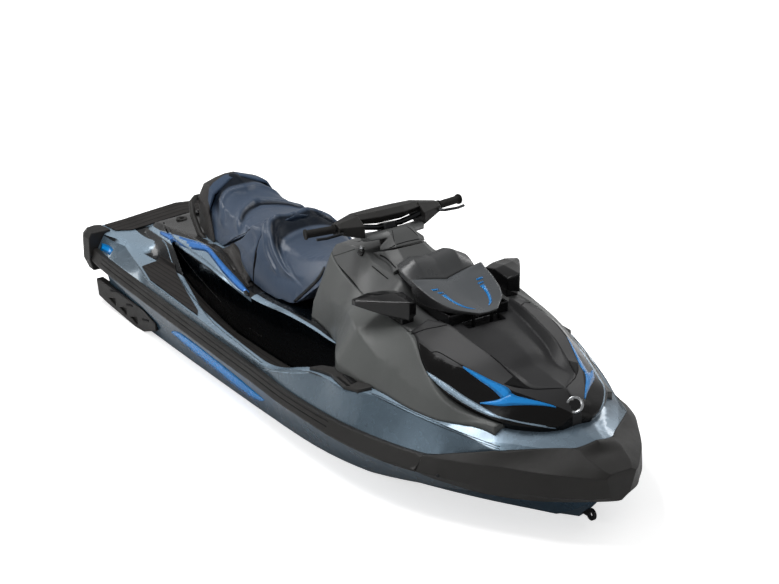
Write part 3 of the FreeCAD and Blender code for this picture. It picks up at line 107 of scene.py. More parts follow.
class Shader:
    """A material under construction, with short calls for the nodes it uses."""

    def __init__(self, name):
        self.material = bpy.data.materials.new(name)
        self.material.use_nodes = True
        self.tree = self.material.node_tree
        self.bsdf = self.tree.nodes["Principled BSDF"]
        self.coords = self.node("ShaderNodeTexCoord")

    def join(self, source, target):
        self.tree.links.new(source, target)

    def feed(self, slot, value):
        """Gives an input its value, or a link from another node."""
        if isinstance(value, (int, float, tuple)):
            slot.default_value = value
        else:
            self.join(value, slot)

    def node(self, kind, inputs=(), **settings):
        made = self.tree.nodes.new(kind)
        for key, value in settings.items():
            setattr(made, key, value)
        for key, value in dict(inputs).items():
            self.feed(made.inputs[key], value)
        return made

    def place(self, scale=(1, 1, 1), rotation=(0, 0, 0)):
        here = self.coords.outputs["Object"]
        inputs = {"Scale": scale, "Rotation": rotation, "Vector": here}
        return self.node("ShaderNodeMapping", inputs).outputs["Vector"]

    def noise(self, scale, detail=3.0, rough=0.5, vector=None):
        here = vector or self.coords.outputs["Object"]
        inputs = {"Scale": scale, "Detail": detail, "Roughness": rough, "Vector": here}
        return self.node("ShaderNodeTexNoise", inputs).outputs["Fac"]

    def cells(self, scale, feature="DISTANCE_TO_EDGE", output="Distance"):
        inputs = {"Scale": scale, "Vector": self.coords.outputs["Object"]}
        return self.node("ShaderNodeTexVoronoi", inputs, feature=feature).outputs[output]

    def remap(self, value, low, high, to_low=0.0, to_high=1.0, smooth=False):
        inputs = {"Value": value, "From Min": low, "From Max": high,
                  "To Min": to_low, "To Max": to_high}
        kind = "SMOOTHSTEP" if smooth else "LINEAR"
        made = self.node("ShaderNodeMapRange", inputs, interpolation_type=kind)
        return made.outputs["Result"]

    def math(self, operation, a, b=None):
        inputs = {0: a} if b is None else {0: a, 1: b}
        return self.node("ShaderNodeMath", inputs, operation=operation).outputs[0]

    def past(self, value, limit, blur=0.001):
        """1 where the value is past the limit and 0 before it, with a narrow blend."""
        return self.remap(self.math("SUBTRACT", value, limit), -blur, blur)

    def grooves(self, along, pitch, start, full):
        """1 in the grooves that repeat along a line, 0 between them."""
        period = self.math("FRACT", self.math("DIVIDE", along, pitch))
        away = self.math("ABSOLUTE", self.math("SUBTRACT", period, 0.5))
        return self.remap(away, start, full, smooth=True)

    def product(self, *factors):
        out = factors[0]
        for factor in factors[1:]:
            out = self.math("MULTIPLY", out, factor)
        return out

    def mix(self, factor, a, b):
        made = self.node("ShaderNodeMix", data_type="RGBA")
        for key, value in (("Factor", factor), ("A", a), ("B", b)):
            self.feed([s for s in made.inputs if s.name == key and s.enabled][0], value)
        return [s for s in made.outputs if s.enabled][0]

    def axis(self, name, what="Object"):
        return self.node("ShaderNodeSeparateXYZ", {0: self.coords.outputs[what]}).outputs[name]

    def half_breadth(self):
        return self.math("ABSOLUTE", self.axis("Y"))

    def set(self, key, value):
        self.feed(self.bsdf.inputs[key], value)

    def bump(self, height, strength, distance=0.001, chain=None):
        inputs = {"Strength": strength, "Distance": distance, "Height": height}
        if chain:
            inputs["Normal"] = chain
        return self.node("ShaderNodeBump", inputs).outputs["Normal"]

    def finish(self, normal=None):
        if normal:
            self.join(normal, self.bsdf.inputs["Normal"])
        return self.material

    def rounded(self, radius=0.003):
        """A normal that rounds the look of hard corners, as a mould does."""
        return self.node("ShaderNodeBevel", {"Radius": radius}, samples=6).outputs["Normal"]

    def varied(self, rgb, amount=0.12, scale=3.0, level=1.0):
        """The colour with a slow variation over the surface."""
        tone = self.remap(self.noise(scale, 4), 0.3, 0.7)
        low, high = level * (1 - amount), level * (1 + amount)
        return self.mix(tone, scaled(rgb, low), scaled(rgb, high))

    def flaked(self, rgb, grain, amount=0.05, level=1.0):
        """The colour of a metallic paint, with scattered grains of another tone."""
        channels = self.node("ShaderNodeSeparateColor", {0: self.cells(900, "F1", "Color")})
        share = self.remap(channels.outputs[0], 0.82, 0.98, 0, 0.3)
        return self.mix(share, self.varied(rgb, amount, 2.2, level), grain)

    def line_by(self, along, line, low_x=-1.8, high_x=1.8, top=0.8):
        """A line given by (place, value) points, as a function of the place along it."""
        curve = self.node("ShaderNodeFloatCurve")
        points = curve.mapping.curves[0].points
        while len(points) < len(line):
            points.new(0.5, 0.5)
        for point, (x, value) in zip(points, line):
            point.location = ((x / 1000 - low_x) / (high_x - low_x), value / 1000 / top)
            point.handle_type = "VECTOR"
        curve.mapping.update()
        self.join(self.remap(along, low_x, high_x), curve.inputs["Value"])
        return self.math("MULTIPLY", curve.outputs[0], top)

    def line_by_x(self, line):
        """A line along the craft, as a function of X."""
        return self.line_by(self.axis("X"), line)

    def worn(self, low, high, scale, detail=5, rough=0.5):
        """Roughness that wanders between two values over the surface."""
        self.set("Roughness", self.remap(self.noise(scale, detail, rough), 0.3, 0.7, low, high))

    def gel_coat(self, tone, metallic=0.45, rough=0.26):
        """Metallic gel coat under a clear coat, in the colour of the given node."""
        self.set("Base Color", tone)
        self.set("Metallic", metallic)
        self.set("Specular IOR Level", 0.25)
        self.worn(rough - 0.05, rough + 0.06, 14)
        self.set("Coat Weight", 0.35)
        self.set("Coat Roughness", 0.06)
        return self.finish(self.bump(self.noise(55, 2), 0.04, 0.002, self.rounded(0.008)))

    def plastic(self, tone, rough=0.5, grain=0.25, scale=1400, coat=0.0, edge=0.0025, level=0.25):
        """Injection-moulded plastic with a fine leather-like grain."""
        self.set("Base Color", tone)
        self.set("Specular IOR Level", level)
        self.worn(rough - 0.07, rough + 0.07, 9, 6, 0.6)
        self.set("Coat Weight", coat)
        self.set("Coat Roughness", 0.12)
        fine = self.math("MULTIPLY", self.noise(420, 3, 0.6), 0.4)
        height = self.math("ADD", self.cells(scale, "F1"), fine)
        return self.finish(self.bump(height, grain, 0.0004, self.rounded(edge)))


def paint(name, rgb, metallic=0.45, rough=0.3, bright=1.35):
    s = Shader(name)
    return s.gel_coat(s.flaked(rgb, scaled(rgb, bright), 0.06), metallic, rough)


def pedestal_paint(name):
    """Pale sides below the seat stripe, charcoal shell above it."""
    s = Shader(name)
    above = s.past(s.axis("Z"), s.line_by_x(SHELL_LINE))
    pale = s.flaked(PALE_BLUE, scaled(PALE_BLUE, PALE_GLINT))
    s.gel_coat(s.mix(above, pale, s.varied(CHARCOAL, 0.1, 5.0)))
    s.set("Metallic", s.remap(above, 0, 1, 0.45, 0.0))
    s.set("Coat Weight", s.remap(above, 0, 1, 0.35, 0.0))
    return s.material


def moulded(name, rgb, **finish):
    s = Shader(name)
    scuffs = s.remap(s.noise(420, 3, 0.6), 0.4, 0.75, 0.0, 0.3)
    return s.plastic(s.mix(scuffs, s.varied(rgb, 0.09, 5.0), scaled(rgb, 1.35)), **finish)


def glossy(name, rgb):
    s = Shader(name)
    s.set("Base Color", s.varied(rgb, 0.2, 3.0))
    s.set("Specular IOR Level", 0.35)
    s.set("Roughness", s.remap(s.noise(20, 6, 0.6), 0.35, 0.7, 0.1, 0.17))
    return s.finish(s.bump(s.noise(38, 2), 0.05, 0.002, s.rounded(0.010)))


def vinyl(name, rgb):
    """Marine seat vinyl: pebbled grain and soft sheen, with painted shade in the grain's crevices
    and on the cover's forward-facing faces, where its attribute marks them.
    """
    s = Shader(name)
    pebble = s.cells(520)
    # Painted shade: the crevices of the pebbled grain are darker
    crevice_painted_shade = s.remap(pebble, 0.0, 0.09, 0.35, 0.0)
    # Painted shade: darker vinyl, with less reflection, coat and sheen, on the forward-facing faces
    # that the cover's attribute marks
    painted_shade_zone = s.node("ShaderNodeAttribute", attribute_name="painted_shade_share").outputs["Fac"]
    tone = s.mix(painted_shade_zone, s.varied(rgb, 0.1, 6.0), scaled(rgb, 0.10))
    s.set("Base Color", s.mix(crevice_painted_shade, tone, scaled(rgb, 0.55)))
    s.set("Specular IOR Level", s.remap(painted_shade_zone, 0, 1, 0.40, 0.10))
    s.worn(0.32, 0.43, 24, rough=0.6)
    s.set("Coat Weight", s.remap(painted_shade_zone, 0, 1, 0.12, 0.0))
    s.set("Coat Roughness", 0.3)
    s.set("Sheen Weight", s.remap(painted_shade_zone, 0, 1, 0.06, 0.0))
    pores = s.math("MULTIPLY", s.noise(1500, 2, 0.6), 0.35)
    grain = s.math("ADD", s.remap(pebble, 0.0, 0.12), pores)
    return s.finish(s.bump(grain, 0.2, 0.0006))


def foam(name, rgb, pitch=0.026, angle=0.0):
    """Closed-cell mat with pressed grooves, darkened by painted shade, and a pebbled surface."""
    s = Shader(name)
    parts = s.node("ShaderNodeSeparateXYZ", {0: s.place((1, 1, 1), (0, 0, angle))})
    groove = s.grooves(parts.outputs["Y"], pitch, 0.36, 0.44)
    # Painted shade: the grooves are darker, at about a third of the mat's colour
    tone = s.mix(groove, s.varied(rgb, 0.15, 9.0), scaled(rgb, 0.35))
    s.set("Base Color", s.mix(s.remap(s.noise(900, 2), 0.5, 0.8, 0, 0.3), tone, scaled(rgb, 1.8)))
    s.set("Roughness", 0.82)
    s.set("Specular IOR Level", 0.2)
    depth = s.math("SUBTRACT", s.math("MULTIPLY", s.cells(700, "F1"), 0.25), groove)
    return s.finish(s.bump(depth, 0.6, 0.0016, s.rounded(0.002)))


def metal(name, rgb, rough, brushed=(1, 1, 1), cast=False):
    s = Shader(name)
    s.set("Base Color", s.varied(rgb, 0.1, 8.0))
    s.set("Metallic", 1.0)
    lines = s.noise(260, 4, 0.7, s.place(brushed))
    s.set("Roughness", s.remap(lines, 0.3, 0.7, rough * 0.75, rough * 1.3))
    height = s.math("ADD", s.cells(420, "F1"), s.noise(90, 4)) if cast else lines
    return s.finish(s.bump(height, 0.35 if cast else 0.06, 0.0006, s.rounded(0.0015)))


def rubber(name, rgb, pitch=0.006):
    """Grip rubber with moulded rings, painted shade in their grooves, and fine texture."""
    s = Shader(name)
    groove = s.grooves(s.axis("Y"), pitch, 0.3, 0.46)
    # Painted shade: the grooves between the rings are darker
    s.set("Base Color", s.mix(groove, s.varied(rgb, 0.15, 30), scaled(rgb, 0.4)))
    s.set("Roughness", 0.72)
    s.set("Specular IOR Level", 0.2)
    height = s.math("SUBTRACT", s.math("MULTIPLY", s.cells(1600, "F1"), 0.3), groove)
    return s.finish(s.bump(height, 0.7, 0.0012))


def screen(name):
    """Dark display with a faint dial ring and plain bars, behind glass."""
    s = Shader(name)
    y, z = s.axis("Y"), s.math("SUBTRACT", s.axis("Z"), keel(0, 0, DIAL_HEIGHT).z)
    radius = s.math("SQRT", s.math("ADD", s.math("MULTIPLY", y, y), s.math("MULTIPLY", z, z)))
    dial = s.product(s.remap(radius, 0.0075, 0.0082), s.remap(radius, 0.0098, 0.0091))
    bars = s.product(s.remap(s.math("ABSOLUTE", z), 0.004, 0.0035),
                     s.remap(s.math("FRACT", s.math("DIVIDE", y, 0.011)), 0.55, 0.6),
                     s.remap(s.math("ABSOLUTE", y), 0.016, 0.018))
    lit = s.math("MAXIMUM", dial, bars)
    s.set("Base Color", s.mix(lit, linear(SCREEN_DARK), linear(SCREEN_LIT)))
    s.set("Roughness", 0.08)
    s.set("Coat Weight", 1.0)
    return s.finish()


def mirror_face(name):
    s = Shader(name)
    s.set("Base Color", s.varied(MIRROR_SILVER, 0.02, 12))
    s.set("Metallic", 1.0)
    s.set("Roughness", s.remap(s.noise(30, 3), 0.3, 0.8, 0.02, 0.06))
    return s.finish()


# Paint zones, by lines in millimetres: (x, half breadth) or (x, height above the water)

SHOULDER_LINE = [
    (-1690, 446), (-1460, 394), (-1210, 450), (-1050, 495), (-710, 520), (-220, 556), (140, 573),
    (540, 548), (670, 552), (830, 491), (1020, 436), (1280, 340), (1460, 190), (1550, 88),
]
PEDESTAL_LINE = [(-1500, 330), (-1273, 354), (-1003, 373), (-804, 370), (-615, 352), (-454, 328)]
SHELL_LINE = [
    (-1700, 335), (-1500, 346), (-1383, 360), (-1233, 392), (-1099, 417), (-984, 437), (-904, 445),
    (-838, 442), (-707, 409), (-572, 376), (-488, 353), (-400, 334),
]
BACK_REST_RIM = [       # (half breadth, x)
    (0, -1135), (50, -1132), (100, -1122), (141, -1094), (163, -1067), (176, -1029), (184, -971),
    (200, -900), (250, -850),
]
HOOD_EDGE = [
    (740, 300), (842, 300), (922, 297), (1000, 282), (1054, 260), (1150, 215), (1257, 171),
    (1340, 115), (1397, 66), (1440, 22),
]

# Limits of the paint zones, where each blend starts and is full

BOW_X = (1.060, 1.064)
LEVEL_FACE = (0.80, 0.86)           # how far up a face looks
SHELF_HEIGHT = (512, 517)           # above the keel
SHELF_BREADTH = 0.285
PEDESTAL_X = (-0.440, -0.445)
PEDESTAL_BREADTH = (0.345, 0.340)


def deck_paint(name):
    """Steel-blue flanks, pale gunwale tops, pedestal sides and bow, dark wells and seat shell."""
    s = Shader(name)
    across, along, up = s.half_breadth(), s.axis("X"), s.axis("Z")
    inside = s.past(s.line_by_x(SHOULDER_LINE), across)
    level = s.remap(s.axis("Z", "Normal"), *LEVEL_FACE)
    above = s.remap(up, *(keel(0, 0, h).z for h in SHELF_HEIGHT))
    shelf = s.product(level, above, s.past(across, SHELF_BREADTH, 0.002))
    beside = s.product(s.remap(along, *PEDESTAL_X), s.remap(across, *PEDESTAL_BREADTH))
    side = s.product(s.past(up, s.line_by_x(PEDESTAL_LINE), 0.002), beside)
    shell = s.product(s.past(up, s.line_by_x(SHELL_LINE)), beside)
    flank = s.flaked(STEEL_BLUE, linear(PALE_BLUE), 0.06)
    pale = s.flaked(PALE_BLUE, scaled(PALE_BLUE, PALE_GLINT))
    bow = s.flaked(PALE_BLUE, linear(PALE_BLUE), level=0.55)
    well = s.mix(s.math("MAXIMUM", shelf, side), s.varied(WELL_NAVY, 0.3, 4), pale)
    within = s.mix(s.remap(along, *BOW_X), well, bow)
    tone = s.mix(inside, flank, within)
    return s.gel_coat(s.mix(shell, tone, s.varied(DECK_CHARCOAL, 0.1, 5.0)))


def shell_finish(name):
    """Charcoal seat shell whose forward rim carries the navy cover."""
    s = Shader(name)
    rim = s.line_by(s.half_breadth(), BACK_REST_RIM, 0.0, 0.25, -1.2)
    charcoal = s.varied(SHELL_CHARCOAL, 0.1, 5.0)
    tone = s.mix(s.past(s.axis("X"), rim), charcoal, s.varied(VINYL_NAVY, 0.1, 6.0))
    return s.plastic(tone, 0.48, edge=0.014)


def hood_finish(name):
    """Graphite wings and centre; gloss black outboard of the long crease."""
    s = Shader(name)
    outside = s.past(s.half_breadth(), s.line_by_x(HOOD_EDGE))
    tone = s.mix(outside, s.varied(HOOD_GREY, 0.08, 5), s.varied(HOOD_BLACK, 0.2, 3))
    made = s.plastic(tone, grain=0.08, scale=1800, edge=0.014, level=0.2)
    s.set("Roughness", s.remap(outside, 0, 1, 0.46, 0.17))
    return made


def visor_finish(name):
    """Smoked visor, lighter on its near-flat top and darker down its cheeks: painted shade, by
    which way each face looks.
    """
    s = Shader(name)
    # Painted shade: the darker tone goes on the faces that look sideways
    top = s.remap(s.axis("Z", "Normal"), 0.55, 0.85)
    tone = s.mix(top, s.varied(VISOR_CHEEK_SHADE, 0.08, 4), s.varied(VISOR_GREY, 0.08, 4))
    return s.plastic(tone, 0.24, 0.05, 1800, 0.1, 0.012, 0.35)


MATERIALS = {
    "hull": paint("hull_gel_coat", HULL_BLUE, 0.3),
    "deck": deck_paint("deck_gel_coat"),
    "trim": moulded("moulded_charcoal", CHARCOAL, grain=0.3, edge=0.008),
    "panel": moulded("side_panel_grey", PANEL_GREY, rough=0.38, grain=0.12, scale=1800,
                     edge=0.016),
    "console": moulded("console_grey", CONSOLE_GREY, rough=0.4, grain=0.12, scale=1800,
                       edge=0.010),
    "hood": hood_finish("hood_graphite"),
    "visor": visor_finish("visor_smoke"),
    "pod": moulded("pod_graphite", POD_GREY, rough=0.32, grain=0.08, scale=1800, level=0.3,
                   edge=0.012),
    "gloss": glossy("gloss_black", GLOSS_BLACK),
    "vinyl": vinyl("navy_vinyl", VINYL_NAVY),
    "shell": moulded("seat_shell_black", SHELL_CHARCOAL, edge=0.012),
    "shell_rim": shell_finish("seat_shell_with_rim"),
    "mat_fore_aft": foam("foam_mat_fore_aft", FOAM_BLACK, 0.026),
    "mat_across": foam("foam_mat_across", FOAM_BLACK, 0.030, math.pi / 2),
    "cast": metal("cast_aluminium", CAST_GREY, 0.42, cast=True),
    "polished": metal("polished_steel", STEEL_GREY, 0.16, (1, 30, 30)),
    "bar": metal("black_anodised", BAR_BLACK, 0.35, (1, 30, 30)),
    "rubber": rubber("grip_rubber", GRIP_BLACK),
    "screen": screen("display_glass"),
    "mirror": mirror_face("mirror_glass"),
    "stripe": paint("stripe_blue", STRIPE_BLUE, 0.1, 0.25, 1.1),
    "panel_stripe": paint("panel_stripe_blue", PANEL_STRIPE_BLUE, 0.25, 0.28, 1.2),
    "pedestal": pedestal_paint("pedestal_gel_coat"),
    "pale": paint("pale_gel_coat", PALE_BLUE, 0.4, 0.27, 1.3),
    "accent": moulded("accent_red", ACCENT_RED, rough=0.4, grain=0.1),
    "seam": moulded("seam_black", SEAM_BLACK, rough=0.6, grain=0.1, level=0.1),
    "badge": metal("badge_silver", BADGE_SILVER, 0.25),
}

NODES_IN = {
    "hull": "hull",
    "deck": "deck",
    "trim": """rub_rails bow_bumper stern_bumpers grab_handle sponsons side_vents steering_column
            bar_cover switch_housings cargo_sockets""",
    "panel": "side_panels",
    "console": "console glovebox_lid steering_shroud column_shroud",
    "hood": "hood",
    "visor": "storage_lid",
    "pod": "gauge_pod",
    "gloss": "storage_bin mirrors lid_hinge",
    "vinyl": "seat_front seat_rear",
    "shell_rim": "seat_shell",
    "mat_fore_aft": "gunwale_mats footwell_mats",
    "mat_across": "platform_mat",
    "cast": "engine_block ride_plate intake_grate pump_housing steering_nozzle reverse_bucket",
    "polished": "impeller boarding_ladder ladder_brackets stern_eyes",
    "bar": "handlebar control_levers bow_eye",
    "rubber": "grips",
    "screen": "gauge_display",
    "mirror": "mirror_glass",
    "pedestal": "pedestal_panels",
}

for finish, names in NODES_IN.items():
    for node_name in names.split():
        for material_slot in NODES[node_name].material_slots:
            material_slot.material = MATERIALS[finish]

# Moulded edges: the hard pieces that show each radius, in metres

ROUNDED_BY = {
    0.006: "side_panels bow_bumper stern_bumpers seat_shell",
    0.005: "console sponsons mirrors grab_handle",
    0.004: """hull deck hood gauge_pod bar_cover switch_housings steering_shroud column_shroud
           reverse_bucket""",
    0.003: "rub_rails storage_lid glovebox_lid storage_bin",
    0.002: "side_vents pedestal_panels steering_nozzle pump_housing",
}
WELD_REACH = 0.0002
CORNER_ANGLE = math.radians(22)


def soften(name, radius):
    """Welds the faces of a solid and rounds its corners, without moving its surfaces."""
    obj = NODES[name]
    weld = obj.modifiers.new("weld", "WELD")
    weld.merge_threshold = WELD_REACH
    bevel = obj.modifiers.new("edge", "BEVEL")
    bevel.width = radius
    bevel.segments = 3
    bevel.limit_method = "ANGLE"
    bevel.angle_limit = CORNER_ANGLE
    bevel.use_clamp_overlap = True
    normals = obj.modifiers.new("normals", "WEIGHTED_NORMAL")
    normals.weight = 60
    normals.keep_sharp = False


for edge_radius, names in ROUNDED_BY.items():
    for node_name in names.split():
        soften(node_name, edge_radius)


# Pieces laid on the surfaces of the frame

SURFACES = {}


def surface(names):
    """A search tree of the faces of the named nodes or pieces."""
    if names not in SURFACES:
        vertices, faces = [], []
        for name in names.split():
            mesh = (NODES.get(name) or bpy.data.objects[name]).data
            first = len(vertices)
            vertices += [v.co.copy() for v in mesh.vertices]
            faces += [[first + i for i in p.vertices] for p in mesh.polygons]
        SURFACES[names] = BVHTree.FromPolygons(vertices, faces)
    return SURFACES[names]


def smooth_path(points, count, samples=12):
    """Points spaced evenly along a smooth curve through the given ones."""
    points = [Vector(p) for p in points]
    last = len(points) - 1
    dense = []
    for i in range(last):
        before, start, end = points[max(i - 1, 0)], points[i], points[i + 1]
        after = points[min(i + 2, last)]
        bend = 2 * before - 5 * start + 4 * end - after
        twist = 3 * start - before - 3 * end + after
        for k in range(samples):
            t = k / samples
            dense.append(0.5 * (2 * start + (end - before) * t + bend * t ** 2 + twist * t ** 3))
    dense.append(points[last])
    reach = [0.0]
    for a, b in zip(dense, dense[1:]):
        reach.append(reach[-1] + (b - a).length)
    xyz = np.array(dense)
    at = np.linspace(0, reach[-1], count)
    return [Vector(p) for p in np.stack([np.interp(at, reach, xyz[:, k]) for k in range(3)], 1)]


def path_length(points):
    return sum((b - a).length for a, b in zip(points, points[1:]))


def mesh_piece(name, vertices, faces, material, body):
    """A piece of its own mesh, which rides on a body."""
    mesh = bpy.data.meshes.new(name)
    mesh.from_pydata([tuple(v) for v in vertices], [], faces)
    mesh.materials.append(MATERIALS[material])
    mesh.polygons.foreach_set("use_smooth", [True] * len(mesh.polygons))
    obj = bpy.data.objects.new(name, mesh)
    bpy.context.scene.collection.objects.link(obj)
    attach(obj, body)
    return obj


def flipped(points, side):
    return [Vector((x, y * side, z)) for x, y, z in points]


SIDES = {"port": 1, "starboard": -1}
STRIP_STEP = 0.008      # between the rows of a strip
STRIP_ROOT = 0.0006     # how far a strip reaches into its surface


def strip(name, edge, other, nodes, material, body="hull", lift=0.0008, across=4,
          sides=SIDES.values()):
    """A thin strip between two lines of the port side, laid on a surface."""
    tree = surface(nodes)
    rows = max(3, int(path_length(edge) / STRIP_STEP))
    vertices, faces = [], []
    for side in sides:
        left = smooth_path(flipped(edge, side), rows)
        right = smooth_path(flipped(other, side), rows)
        first = len(vertices)
        for a, b in zip(left, right):
            for k in range(across + 1):
                place, normal, _, _ = tree.find_nearest(a.lerp(b, k / across))
                vertices.append(place + normal * lift)
                up = normal
        corner, over = vertices[first], vertices[first + across]
        along = vertices[first + across + 1]
        turn = (along - corner).cross(over - corner).dot(up) > 0
        for r in range(rows - 1):
            for k in range(across):
                i = first + r * (across + 1) + k
                quad = [i, i + across + 1, i + across + 2, i + 1]
                faces.append(quad if turn else quad[::-1])
    obj = mesh_piece(name, vertices, faces, material, body)
    solid = obj.modifiers.new("thickness", "SOLIDIFY")
    solid.thickness = lift + STRIP_ROOT
    solid.offset = -1


def inlay(name, edge, other, nodes, material, **options):
    """A strip given by its two edges."""
    edge, other = ([keel(*p) for p in line] for line in (edge, other))
    strip(name, edge, other, nodes, material, **options)


def seam(name, line, nodes, width, material="seam", lift=0.0005, **options):
    """A narrow line of one width on a surface: a joint, crease or groove."""
    tree = surface(nodes)
    points = [keel(*p) for p in line]
    edge, other = [], []
    for i, p in enumerate(points):
        along = (points[min(i + 1, len(points) - 1)] - points[max(i - 1, 0)]).normalized()
        _, normal, _, _ = tree.find_nearest(p)
        aside = normal.cross(along).normalized() * width / 2
        edge.append(p + aside)
        other.append(p - aside)
    strip(name, edge, other, nodes, material, lift=lift, across=2, **options)


def ring_piece(name, rings, material, body):
    """A closed piece from rings of equally many points, from its foot to its top."""
    turns, faces = len(rings[0]), []
    for r in range(len(rings) - 1):
        for k in range(turns):
            a, b = r * turns + k, r * turns + (k + 1) % turns
            faces.append([a, b, b + turns, a + turns])
    faces.append(list(range(turns))[::-1])
    faces.append([(len(rings) - 1) * turns + k for k in range(turns)])
    mesh_piece(name, [v for ring in rings for v in ring], faces, material, body)


def circle(turns):
    """The cosine and sine of each turn's angle."""
    angles = [2 * math.pi * k / turns for k in range(turns)]
    return [(math.cos(a), math.sin(a)) for a in angles]


def turned(name, profile, centre, axis, material, body="hull", turns=24):
    """A round piece from a profile of (radius, height), standing on its centre along an axis."""
    upright = Vector(axis).to_track_quat("Z", "Y")
    rings = [[centre + upright @ Vector((radius * c, radius * s, height)) for c, s in circle(turns)]
             for radius, height in profile]
    ring_piece(name, rings, material, body)


def on_surface(nodes, point):
    """The nearest place on the nodes, and its normal."""
    return surface(nodes).find_nearest(keel(*point))[:2]


def on_both_sides(name, profile, nodes, point, material, body="hull", turns=24):
    """A round piece on a surface, and its mirror image."""
    x, y, h = point
    for word, side in SIDES.items():
        seat = on_surface(nodes, (x, y * side, h))
        turned(f"{name}_{word}", profile, *seat, material, body, turns)


# Share of the outline and share of the height, from the foot up
PLATE_LEVELS = [(1.0, -0.3), (1.0, 0.6), (0.95, 0.86), (0.84, 0.98), (0.5, 1.0)]


def plate(name, nodes, point, along, size, material, power=4.0):
    """A small moulded plate of a length, width and height, with a domed top, on a surface."""
    place, normal = on_surface(nodes, point)
    ahead = (Vector(along) - normal * Vector(along).dot(normal)).normalized()
    aside = normal.cross(ahead)
    length, width, height = size
    outline = [(math.copysign(abs(c) ** (2 / power), c) * length / 2,
                math.copysign(abs(s) ** (2 / power), s) * width / 2) for c, s in circle(32)]
    rings = [[place + ahead * u * share + aside * v * share + normal * (level * height)
              for u, v in outline] for share, level in PLATE_LEVELS]
    ring_piece(name, rings, material, "hull")


OUTBOARD = 1000         # half breadth from which a level line looks inboard
INBOARD = Vector((0, -1, 0))


def seen_from_outboard(node, x, h):
    """The place where a level line from outboard meets the node, or None."""
    return surface(node).ray_cast(keel(x, OUTBOARD, h), INBOARD)[0]


def groove_along(name, node, stations, share, width):
    """A line along the outboard face of a node, at a share of its height."""
    line = []
    for x in stations:
        met = [h for h in range(300, 660, 3) if seen_from_outboard(node, x, h) is not None]
        if met:
            h = met[0] + (met[-1] - met[0]) * share
            line.append((x, seen_from_outboard(node, x, h).y * 1000, h))
    seam(name, line, node, width)


# Hood, stripes and badge

inlay("hood_blade", [
    (1048, 256, 805), (1087, 241, 797), (1120, 227, 789), (1162, 210, 778), (1202, 192, 770),
    (1235, 178, 762), (1259, 177, 749),
], [
    (1053, 259, 799), (1097, 249, 784), (1136, 238, 770), (1173, 227, 758), (1202, 220, 747),
    (1234, 215, 733), (1254, 211, 725),
], "hood", "stripe")
inlay("hood_branch", [
    (1189, 276, 708), (1210, 254, 715), (1232, 228, 723), (1245, 205, 735), (1257, 180, 747),
    (1279, 168, 742), (1320, 136, 735), (1363, 98, 727), (1395, 69, 716),
], [
    (1191, 278, 705), (1218, 260, 706), (1247, 239, 707), (1268, 221, 709), (1286, 201, 713),
    (1301, 184, 715), (1333, 146, 718), (1370, 103, 718), (1398, 71, 712),
], "hood", "stripe", lift=0.0011)
inlay("hood_rim", [
    (925, 344, 762), (963, 338, 757), (1006, 330, 749), (1052, 320, 739), (1103, 309, 725),
    (1150, 296, 712), (1195, 281, 701), (1241, 267, 690), (1285, 253, 680), (1349, 206, 672),
    (1402, 150, 663), (1432, 96, 647),
], [
    (945, 348, 749), (972, 346, 740), (1025, 343, 728), (1073, 335, 716), (1122, 323, 702),
    (1169, 309, 691), (1213, 294, 682), (1255, 277, 677), (1291, 257, 675), (1353, 208, 667),
    (1406, 153, 658), (1431, 95, 642),
], "hood", "pale")
inlay("hood_pocket", [
    (1212, 180, 771), (1212, 156, 781), (1213, 133, 791), (1248, 121, 777), (1290, 110, 764),
], [(1213, 181, 770), (1233, 168, 767), (1253, 153, 764), (1273, 135, 763), (1292, 111, 762)],
      "hood", "seam", lift=0.0006)
seam("wing_crease", [
    (1089, 157, 842), (1140, 147, 824), (1182, 140, 804), (1213, 133, 791), (1251, 123, 777),
    (1291, 110, 763), (1325, 62, 762), (1358, 8, 763),
], "hood", 0.004)
seam("wing_step", [(897, 301, 819), (921, 284, 826), (983, 271, 817), (1048, 256, 805)], "hood",
     0.004)
seam("hood_joint", [(755, 297, 848), (780, 247, 864), (814, 213, 878), (842, 185, 890)],
     "hood side_panels", 0.006)
BADGE_DISC = [(0.027, -0.006), (0.027, 0.007), (0.018, 0.0085), (0.004, 0.0092)]
BADGE_RING = [(0.034, -0.012), (0.034, 0.006), (0.0325, 0.0090), (0.0290, 0.0094), (0.027, 0.0075)]
badge_seat = on_surface("hood", (1424, 0, 716))
turned("nose_badge_ring", BADGE_RING, *badge_seat, "badge", turns=48)
turned("nose_badge_disc", BADGE_DISC, *badge_seat, "gloss", turns=48)
seam("throat_line", [
    (812, -85, 866), (808, -40, 864), (807, 0, 864), (808, 40, 864), (812, 85, 866),
], "hood", 0.006, "badge", sides=(1,))

# Storage lid: two short dashes and a tapering line on each side

LID_DASHES = [
    ([(652, 128, 964), (652, 96, 962)], [(664, 124, 961), (664, 94, 959)]),
    ([(676, 114, 957), (676, 86, 955)], [(686, 110, 954), (686, 84, 952)]),
]
for number, (dash_back, dash_front) in enumerate(LID_DASHES, 1):
    inlay(f"lid_dash_{number}", dash_back, dash_front, "storage_lid", "stripe",
          body="storage_lid", across=2)
inlay("lid_line", [
    (694, 106, 950), (720, 100, 942), (748, 92, 934), (778, 80, 926), (806, 62, 921),
    (826, 34, 918),
], [
    (694, 84, 948), (720, 83, 940), (746, 78, 932), (772, 68, 925), (799, 54, 921), (822, 32, 918),
], "storage_lid", "stripe", body="storage_lid", across=3)
